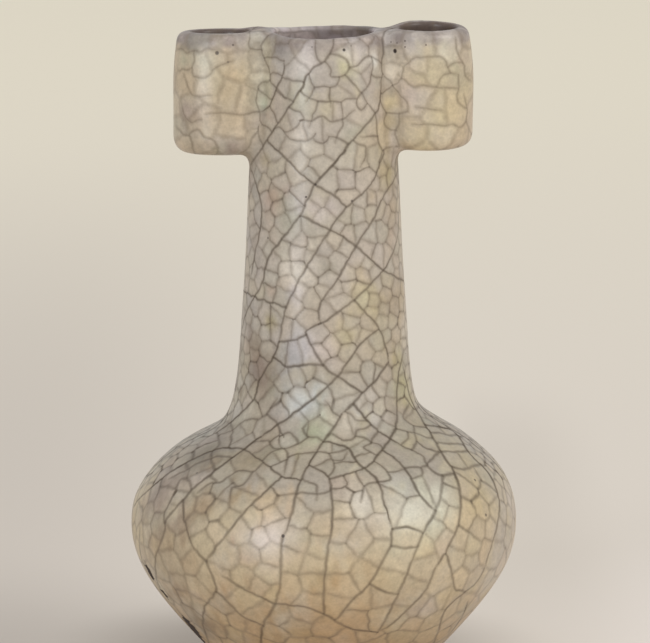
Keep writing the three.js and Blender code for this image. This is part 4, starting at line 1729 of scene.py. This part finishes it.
# The patches' paint at each vertex: some of it is painted highlight, painted reflection and painted shade
patch_paint = np.zeros((len(shell_places), 3))
patch_share = np.zeros(len(shell_places))
uneven = 1 + 0.25 * waves(shell_places, 9 * mm, 31) + 0.15 * waves(shell_places, 3 * mm, 32)
for pixel, radius, colour, share in patches:
    middle = np.array(sighted(pixel)[0])
    gap = np.linalg.norm(shell_places - middle, axis=1) * np.maximum(uneven, 0.4) / (radius * mm)
    weight = share * np.exp(-((1.1 * gap) ** 2))
    patch_paint += weight[:, None] * np.array(colour) / 255
    patch_share += weight
patch_paint /= np.maximum(patch_share, 1e-6)[:, None]
patch_share = np.clip(patch_share, 0, 0.85)
print("patches of colour:", len(patches))

# %% Hand the values to the meshes
lip_limit = 12 * mm


def set_values(mesh, name, kind, domain, values):
    """Store values on a mesh under a name."""
    attribute = mesh.attributes.new(name, kind, domain)
    field = "vector" if kind == "FLOAT_VECTOR" else "value"
    attribute.data.foreach_set(field, np.ascontiguousarray(values, np.float32).ravel())


first_face = 0
for name in glazed:
    skin = skins[name]
    mesh = skin["piece"].data
    cracks, count = skin["cracks"], int(skin["cracks"].sum())
    own_faces = slice(first_face, first_face + count)
    own_vertices = slice(skin["start"], skin["start"] + len(skin["places"]))
    for label, values, empty in (
        ("crack_across", across_values, far),
        ("crack_past", past_values, -far),
        ("pit_offset", pit_values, far),
    ):
        corners = np.full((len(skin["faces"]), 4, 3), empty)
        corners[cracks] = values[own_faces]
        set_values(mesh, label, "FLOAT_VECTOR", "CORNER", corners[skin["keep"]])
    ink = np.zeros((len(skin["faces"]), 3))
    ink[cracks] = ink_values[own_faces]
    set_values(mesh, "crack_ink", "FLOAT_VECTOR", "FACE", ink)
    for label, values in (("cell_tint", tint_values), ("patch_paint", patch_paint**2.2)):
        set_values(mesh, label, "FLOAT_VECTOR", "POINT", values[own_vertices])
    for label, values in (
        ("crack_near", near_values), ("bare_streak", bare_values), ("patch_share", patch_share),
    ):
        set_values(mesh, label, "FLOAT", "POINT", values[own_vertices])
    lip = np.ones(len(skin["places"]))
    hollow = np.zeros(len(skin["places"]))
    if name == "neck_and_lugs_glaze":
        solid, bores, top, _ = upper_parts(skin["places"])
        lip = np.clip(-top / lip_limit, 0, 1)
        hollow = ease(-1.2 * mm, 0, bores - np.maximum(solid, top))
    set_values(mesh, "lip_depth", "FLOAT", "POINT", lip)
    set_values(mesh, "hollow", "FLOAT", "POINT", hollow)
    first_face += count
print("values stored on", len(glazed), "pieces")

# %% [markdown]
# ## The glaze
# The colour is mixed as the kiln mixed it: grey with a breath of lilac on the neck, greener on the
# shoulder, and a warm ochre low down and on the lugs, where the glaze ran thin. Slow clouds and a slight
# tint of each cell keep it from looking printed. Over it lie the stain beside the cracks, the cracks, the
# pinholes, the thin purple-grey band under the lips and the bare streaks. Colours are written as the eye
# reads them, from 0 to 255, and turned into light values.


# %% A palette of nodes
def paint(red, green, blue):
    """A colour as the eye reads it, from 0 to 255, as linear light values."""
    shares = (value / 255 for value in (red, green, blue))
    return (*(s / 12.92 if s <= 0.04045 else ((s + 0.055) / 1.055) ** 2.4 for s in shares), 1)


class Palette:
    """The nodes of one material, made in short calls. A value may be a number or another node's output."""

    def __init__(self, name):
        self.material = bpy.data.materials.new(name)
        self.material.use_nodes = True
        self.tree = self.material.node_tree
        self.shader = self.tree.nodes["Principled BSDF"]

    def node(self, kind, values, **settings):
        """A node with settings, and its inputs by number or name."""
        node = self.tree.nodes.new(kind)
        for key, setting in settings.items():
            setattr(node, key, setting)
        for key, value in values.items():
            if isinstance(value, bpy.types.NodeSocket):
                self.tree.links.new(value, node.inputs[key])
            else:
                node.inputs[key].default_value = value
        return node

    def math(self, operation, *values):
        """A sum, product or other operation on numbers."""
        return self.node("ShaderNodeMath", dict(enumerate(values)), operation=operation).outputs[0]

    def add(self, a, b):
        """A sum."""
        return self.math("ADD", a, b)

    def less(self, a, b):
        """A difference."""
        return self.math("SUBTRACT", a, b)

    def times(self, a, b):
        """A product."""
        return self.math("MULTIPLY", a, b)

    def length(self, a, b):
        """The length of a flat arrow with these two sides."""
        return self.math("SQRT", self.add(self.times(a, a), self.times(b, b)))

    def stored(self, name):
        """A value that the mesh holds: its number output and its vector output."""
        node = self.node("ShaderNodeAttribute", {}, attribute_name=name)
        return node.outputs["Fac"], node.outputs["Vector"]

    def place(self):
        """The point in the object's own space."""
        return self.node("ShaderNodeTexCoord", {}).outputs["Object"]

    def shifted(self, vector, by):
        """A vector with one number added to each of its three."""
        return self.node("ShaderNodeVectorMath", {0: vector, 1: (by, by, by)}, operation="ADD").outputs[0]

    def joined(self, x, y, z):
        """A vector, or a colour, from three numbers."""
        return self.node("ShaderNodeCombineXYZ", {0: x, 1: y, 2: z}).outputs[0]

    def split(self, vector):
        """The three numbers of a vector."""
        return list(self.node("ShaderNodeSeparateXYZ", {0: vector}).outputs)

    def ramp(self, value, start, end, low=0.0, high=1.0):
        """A smooth step of a value: low at start, high at end."""
        inputs = {"Value": value, "From Min": start, "From Max": end, "To Min": low, "To Max": high}
        return self.node("ShaderNodeMapRange", inputs, interpolation_type="SMOOTHSTEP").outputs["Result"]

    def mix(self, share, low, high, blend="MIX"):
        """Two colours mixed by a share."""
        inputs = {"Factor": share, 6: low, 7: high}
        return self.node("ShaderNodeMix", inputs, data_type="RGBA", blend_type=blend).outputs[2]

    def clouds(self, size, detail=2.0, shift=0.0):
        """Noise in the object's own space, about size across, from 0 to 1."""
        inputs = {"Vector": self.shifted(self.place(), shift), "Scale": 1 / size, "Detail": detail}
        return self.node("ShaderNodeTexNoise", inputs).outputs[0]

    def height(self):
        """The height above the floor."""
        return self.split(self.place())[2]

    def bump(self, height, strength, distance=0.08 * mm):
        """A bumpy normal from a height."""
        inputs = {"Height": height, "Strength": strength, "Distance": distance}
        return self.node("ShaderNodeBump", inputs).outputs[0]

    def finish(self, **values):
        """Set the shader's inputs, with spaces for underscores."""
        for key, value in values.items():
            socket = self.shader.inputs[key.replace("_", " ")]
            if isinstance(value, bpy.types.NodeSocket):
                self.tree.links.new(value, socket)
            else:
                socket.default_value = value
        return self.material


# %% The glaze's colours
lilac_grey = paint(191, 180, 165)
green_grey = paint(178, 167, 150)
sand = paint(202, 184, 153)
ochre = paint(178, 149, 110)
lug_tan = paint(200, 182, 154)
cloud_pale = paint(206, 198, 184)
cloud_rose = paint(184, 166, 152)
cloud_moss = paint(168, 166, 144)
lip_purple = paint(149, 137, 133)
lip_pale = paint(176, 164, 157)
bore_purple = paint(195, 180, 178)
bore_brown = paint(104, 88, 80)
stain_brown = paint(120, 103, 84)
crack_dark = paint(62, 46, 24)
pit_dark = paint(52, 42, 38)
clay_dark = paint(56, 42, 34)
# Bands up the vase: where each starts and is full, in mm, and its colour
height_bands = ((12, 30, sand), (42, 54, green_grey), (66, 84, lilac_grey))
# Clouds: size in mm, the noise where they start and are full, how much shows at most, and the colour
cloud_layers = (
    (13, 0.52, 0.72, 0.5, cloud_pale), (10, 0.54, 0.74, 0.45, cloud_rose), (11, 0.56, 0.74, 0.4, cloud_moss),
)


def glaze_colour(p):
    """The glaze before it cracked: bands up the vase, clouds over them, tan lugs, smoky lips and bores, the
    placed patches, some of them painted light and painted shade, a fine mottle, and a tint for each cell."""
    height = p.add(p.height(), p.times(p.less(p.clouds(26 * mm), 0.5), 22 * mm))
    colour = ochre
    for start, end, tone in height_bands:
        colour = p.mix(p.ramp(height, start * mm, end * mm), colour, tone)
    x = p.math("ABSOLUTE", p.split(p.place())[0])
    lug = p.times(p.ramp(x, 14.5 * mm, 18 * mm), p.ramp(p.height(), 112 * mm, 119 * mm))
    colour = p.mix(p.times(lug, 0.8), colour, lug_tan)
    for shift, (size, start, end, most, tone) in enumerate(cloud_layers, 1):
        share = p.ramp(p.clouds(size * mm, 3.0, float(shift)), start, end, 0.0, most)
        colour = p.mix(share, colour, tone)
    lip = p.add(p.stored("lip_depth")[0], p.times(p.less(p.clouds(3 * mm), 0.5), 0.13))
    band = p.ramp(lip, 3.6 * mm / lip_limit, 1.8 * mm / lip_limit)
    smoke = p.mix(p.ramp(p.clouds(2.4 * mm, 4.0, 8.0), 0.42, 0.62), lip_purple, lip_pale)
    colour = p.mix(p.times(band, 0.92), colour, smoke)
    deep = p.mix(p.ramp(x, 14.5 * mm, 17 * mm), bore_purple, bore_brown)
    colour = p.mix(p.stored("hollow")[0], colour, deep)
    # The placed patches mix in here, with painted light and painted shade among them
    colour = p.mix(p.stored("patch_share")[0], colour, p.stored("patch_paint")[1])
    mottle = p.add(p.times(p.clouds(1.7 * mm, 4.0, 6.0), 0.48), 0.59)
    mottle = p.add(mottle, p.times(p.clouds(0.55 * mm, 2.0, 9.0), 0.34))
    colour = p.mix(1.0, colour, p.joined(mottle, mottle, mottle), "MULTIPLY")
    lightness, warmth, greenness = p.split(p.stored("cell_tint")[1])
    red = p.add(p.times(warmth, 0.020), p.times(lightness, 0.055))
    green = p.add(p.times(greenness, 0.016), p.times(lightness, 0.055))
    blue = p.less(p.times(lightness, 0.055), p.times(warmth, 0.040))
    return p.mix(1.0, colour, p.shifted(p.joined(red, green, blue), 1), "MULTIPLY")


# Half widths from a crack's line where its edge begins and where it is full
line_edge, line_core = 1.9, 0.1


def crack_lines(p):
    """How dark the cracks are at a point: for each of three, the distance from its line or its end in half
    widths, as a soft-edged line, times its ink. Where cracks meet, the ink adds up."""
    across = p.split(p.stored("crack_across")[1])
    past = p.split(p.stored("crack_past")[1])
    ink = p.split(p.stored("crack_ink")[1])
    clear = 1.0
    for side, end, strength in zip(across, past, ink):
        end = p.math("MAXIMUM", end, 0.0)
        line = p.times(p.ramp(p.length(side, end), line_edge, line_core), strength)
        clear = p.times(clear, p.less(1.0, line))
    return p.less(1.0, clear)


def crackle_glaze():
    """The whole glaze as one material."""
    p = Palette("crackle_glaze")
    colour = glaze_colour(p)
    foot_edge_height = p.add(p.height(), p.times(p.clouds(5 * mm), 3 * mm))
    colour = p.mix(p.ramp(foot_edge_height, 9 * mm, 5.5 * mm, 0.0, 0.75), colour, stain_brown)
    inside = p.less(1.0, p.times(p.stored("hollow")[0], 0.55))
    lines = p.times(crack_lines(p), inside)
    near = p.stored("crack_near")[0]
    stain = p.ramp(near, 0.60, 0.0, 0.0, 0.34)
    colour = p.mix(stain, colour, stain_brown)
    colour = p.mix(p.times(lines, 0.85), colour, crack_dark)
    pit_x, pit_y, pit_ink = p.split(p.stored("pit_offset")[1])
    pit = p.times(p.ramp(p.length(pit_x, pit_y), 1.25, 0.6), pit_ink)
    colour = p.mix(pit, colour, pit_dark)
    bare = p.ramp(p.stored("bare_streak")[0], 1.15, 0.85)
    colour = p.mix(bare, colour, clay_dark)
    height = p.less(p.ramp(near, 0.0, 0.5, -0.45, 0.0), p.times(lines, 0.8))
    height = p.less(height, p.times(pit, 1.5))
    height = p.add(height, p.times(p.clouds(7 * mm, 2.0, 4.0), 1.6))
    roughness = p.ramp(p.clouds(9 * mm, 3.0, 5.0), 0.3, 0.7, 0.30, 0.42)
    x = p.math("ABSOLUTE", p.split(p.place())[0])
    crease = p.times(p.ramp(x, 12 * mm, 14 * mm), p.ramp(x, 20 * mm, 17 * mm))
    crease = p.times(crease, p.ramp(p.height(), 108 * mm, 114 * mm))
    roughness = p.add(roughness, p.times(crease, 0.3))
    roughness = p.math("MAXIMUM", roughness, p.times(p.math("MAXIMUM", lines, bare), 0.8))
    return p.finish(Base_Color=colour, Roughness=roughness, Normal=p.bump(height, 0.6))


def bare_clay():
    """Unglazed dark stoneware: fine grain, a few paler grits, and a fine grainy bump."""
    p = Palette("bare_clay")
    colour = p.mix(p.clouds(4 * mm, 4.0), paint(70, 50, 38), paint(98, 74, 56))
    grit = p.ramp(p.clouds(0.6 * mm, 2.0, 7.0), 0.66, 0.74)
    colour = p.mix(grit, colour, paint(140, 116, 92))
    return p.finish(Base_Color=colour, Roughness=0.85, Normal=p.bump(p.clouds(0.5 * mm, 4.0, 2.0), 0.5))


glaze, clay = crackle_glaze(), bare_clay()
for name in glazed:
    skins[name]["piece"].data.materials.append(glaze)
skins["bare_foot_ring"]["piece"].data.materials.append(clay)
print("glaze nodes:", len(glaze.node_tree.nodes))

# %% [markdown]
# ## Floor, light and sky
# The vase stands on a warm floor that runs far back, so the floor is also the background, and its paint
# holds painted light and painted shade. A large softbox on the right lights it, a smaller one on the left
# gives the soft shine down the neck, and an even sky fills the shadows.

# %% Floor and light
floor_size = 12.0
bpy.ops.mesh.primitive_plane_add(size=floor_size, location=(0, 0, 0))
floor = bpy.context.object
floor.name = "floor"


def floor_with_painted_light_and_shade():
    """A warm paint with painted light and shade: paler far back, painted shade on the left, painted light on
    the right near the front, a band of painted shade behind the vase on its right and a painted shadow round
    the foot. A third of its brightness in the picture comes from its own colour, whatever the light, and the
    rest is lit, so that the shadow stays."""
    p = Palette("floor_with_painted_light_and_shade")
    aside, depth, _ = p.split(p.place())
    # Painted light falloff: darker near the vase, paler far back
    colour = p.mix(p.ramp(depth, 0.0, 1.2), paint(232, 223, 212), paint(248, 240, 220))
    # Painted shade on the left of the floor
    left = p.add(p.ramp(depth, 0.9, 0.2, 0.0, 0.4), p.ramp(depth, 0.14, -0.02, 0.0, 0.4))
    colour = p.mix(p.times(p.ramp(aside, 0.01, -0.09), left), colour, paint(190, 181, 172))
    # Painted light on the right of the floor, near the front
    right = p.times(p.ramp(aside, 0.04, 0.09), p.ramp(depth, 0.18, 0.02))
    colour = p.mix(right, colour, paint(245, 236, 227))
    # A soft band of painted shade behind the vase on its right
    painted_shade_band = p.times(p.ramp(depth, 0.03, 0.15), p.ramp(depth, 0.38, 0.24))
    painted_shade_band = p.times(painted_shade_band, p.ramp(aside, 0.03, 0.045))
    colour = p.mix(p.times(painted_shade_band, p.ramp(aside, 0.08, 0.052)), colour, paint(225, 216, 204))
    # A painted shadow round the foot, centred a little left of it and behind
    from_foot = p.length(p.add(aside, 6 * mm), p.less(depth, 33 * mm))
    colour = p.mix(p.ramp(from_foot, 62 * mm, 20 * mm, 0.0, 0.5), colour, paint(120, 109, 98))
    path = p.node("ShaderNodeLightPath", {})
    seen = p.math("MAXIMUM", path.outputs["Is Camera Ray"], path.outputs["Is Glossy Ray"])
    seen = p.math("MAXIMUM", seen, path.outputs["Is Transmission Ray"])
    glow = p.node("ShaderNodeEmission", {"Color": colour}).outputs[0]
    p.finish(Base_Color=colour, Roughness=0.9)
    share = p.times(seen, 0.33)
    blend = p.node("ShaderNodeMixShader", {0: share, 1: p.shader.outputs[0], 2: glow}).outputs[0]
    p.tree.links.new(blend, p.tree.nodes["Material Output"].inputs["Surface"])
    return p.material


floor.data.materials.append(floor_with_painted_light_and_shade())


def softbox(name, place, width, height, power, tint):
    """An oblong area lamp that looks at the middle of the vase."""
    data = bpy.data.lights.new(name, "AREA")
    data.shape = "RECTANGLE"
    data.size = width
    data.size_y = height
    data.energy = power
    data.color = tint
    lamp = bpy.data.objects.new(name, data)
    lamp.location = place
    lamp.rotation_euler = (Vector((0, 0, 70 * mm)) - lamp.location).to_track_quat("-Z", "Y").to_euler()
    bpy.context.scene.collection.objects.link(lamp)


softbox("right_softbox", (1.15, -0.8, 1.05), 0.9, 0.9, 8.0, (1.0, 0.98, 0.94))
softbox("left_window", (-0.82, -1.13, 0.32), 0.22, 0.6, 4.8, (0.92, 0.96, 1.0))

world = bpy.data.worlds.new("world")
world.use_nodes = True
world.node_tree.nodes["Background"].inputs["Color"].default_value = (1, 1, 1, 1)
world.node_tree.nodes["Background"].inputs["Strength"].default_value = 0.60
bpy.context.scene.world = world
bpy.context.scene.view_settings.view_transform = "Standard"
print("floor, lamps and sky ready")

# %% Ride, replace and finish
replaced = {
    "lower_body_glaze": ("lower_body",),
    "upper_body_glaze": ("upper_body",),
    "neck_and_lugs_glaze": ("neck", "left_lug", "right_lug"),
    "bare_foot_ring": ("foot_ring",),
}
for name, nodes in replaced.items():
    piece = skins[name]["piece"]
    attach(piece, "root")
    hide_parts(*nodes)
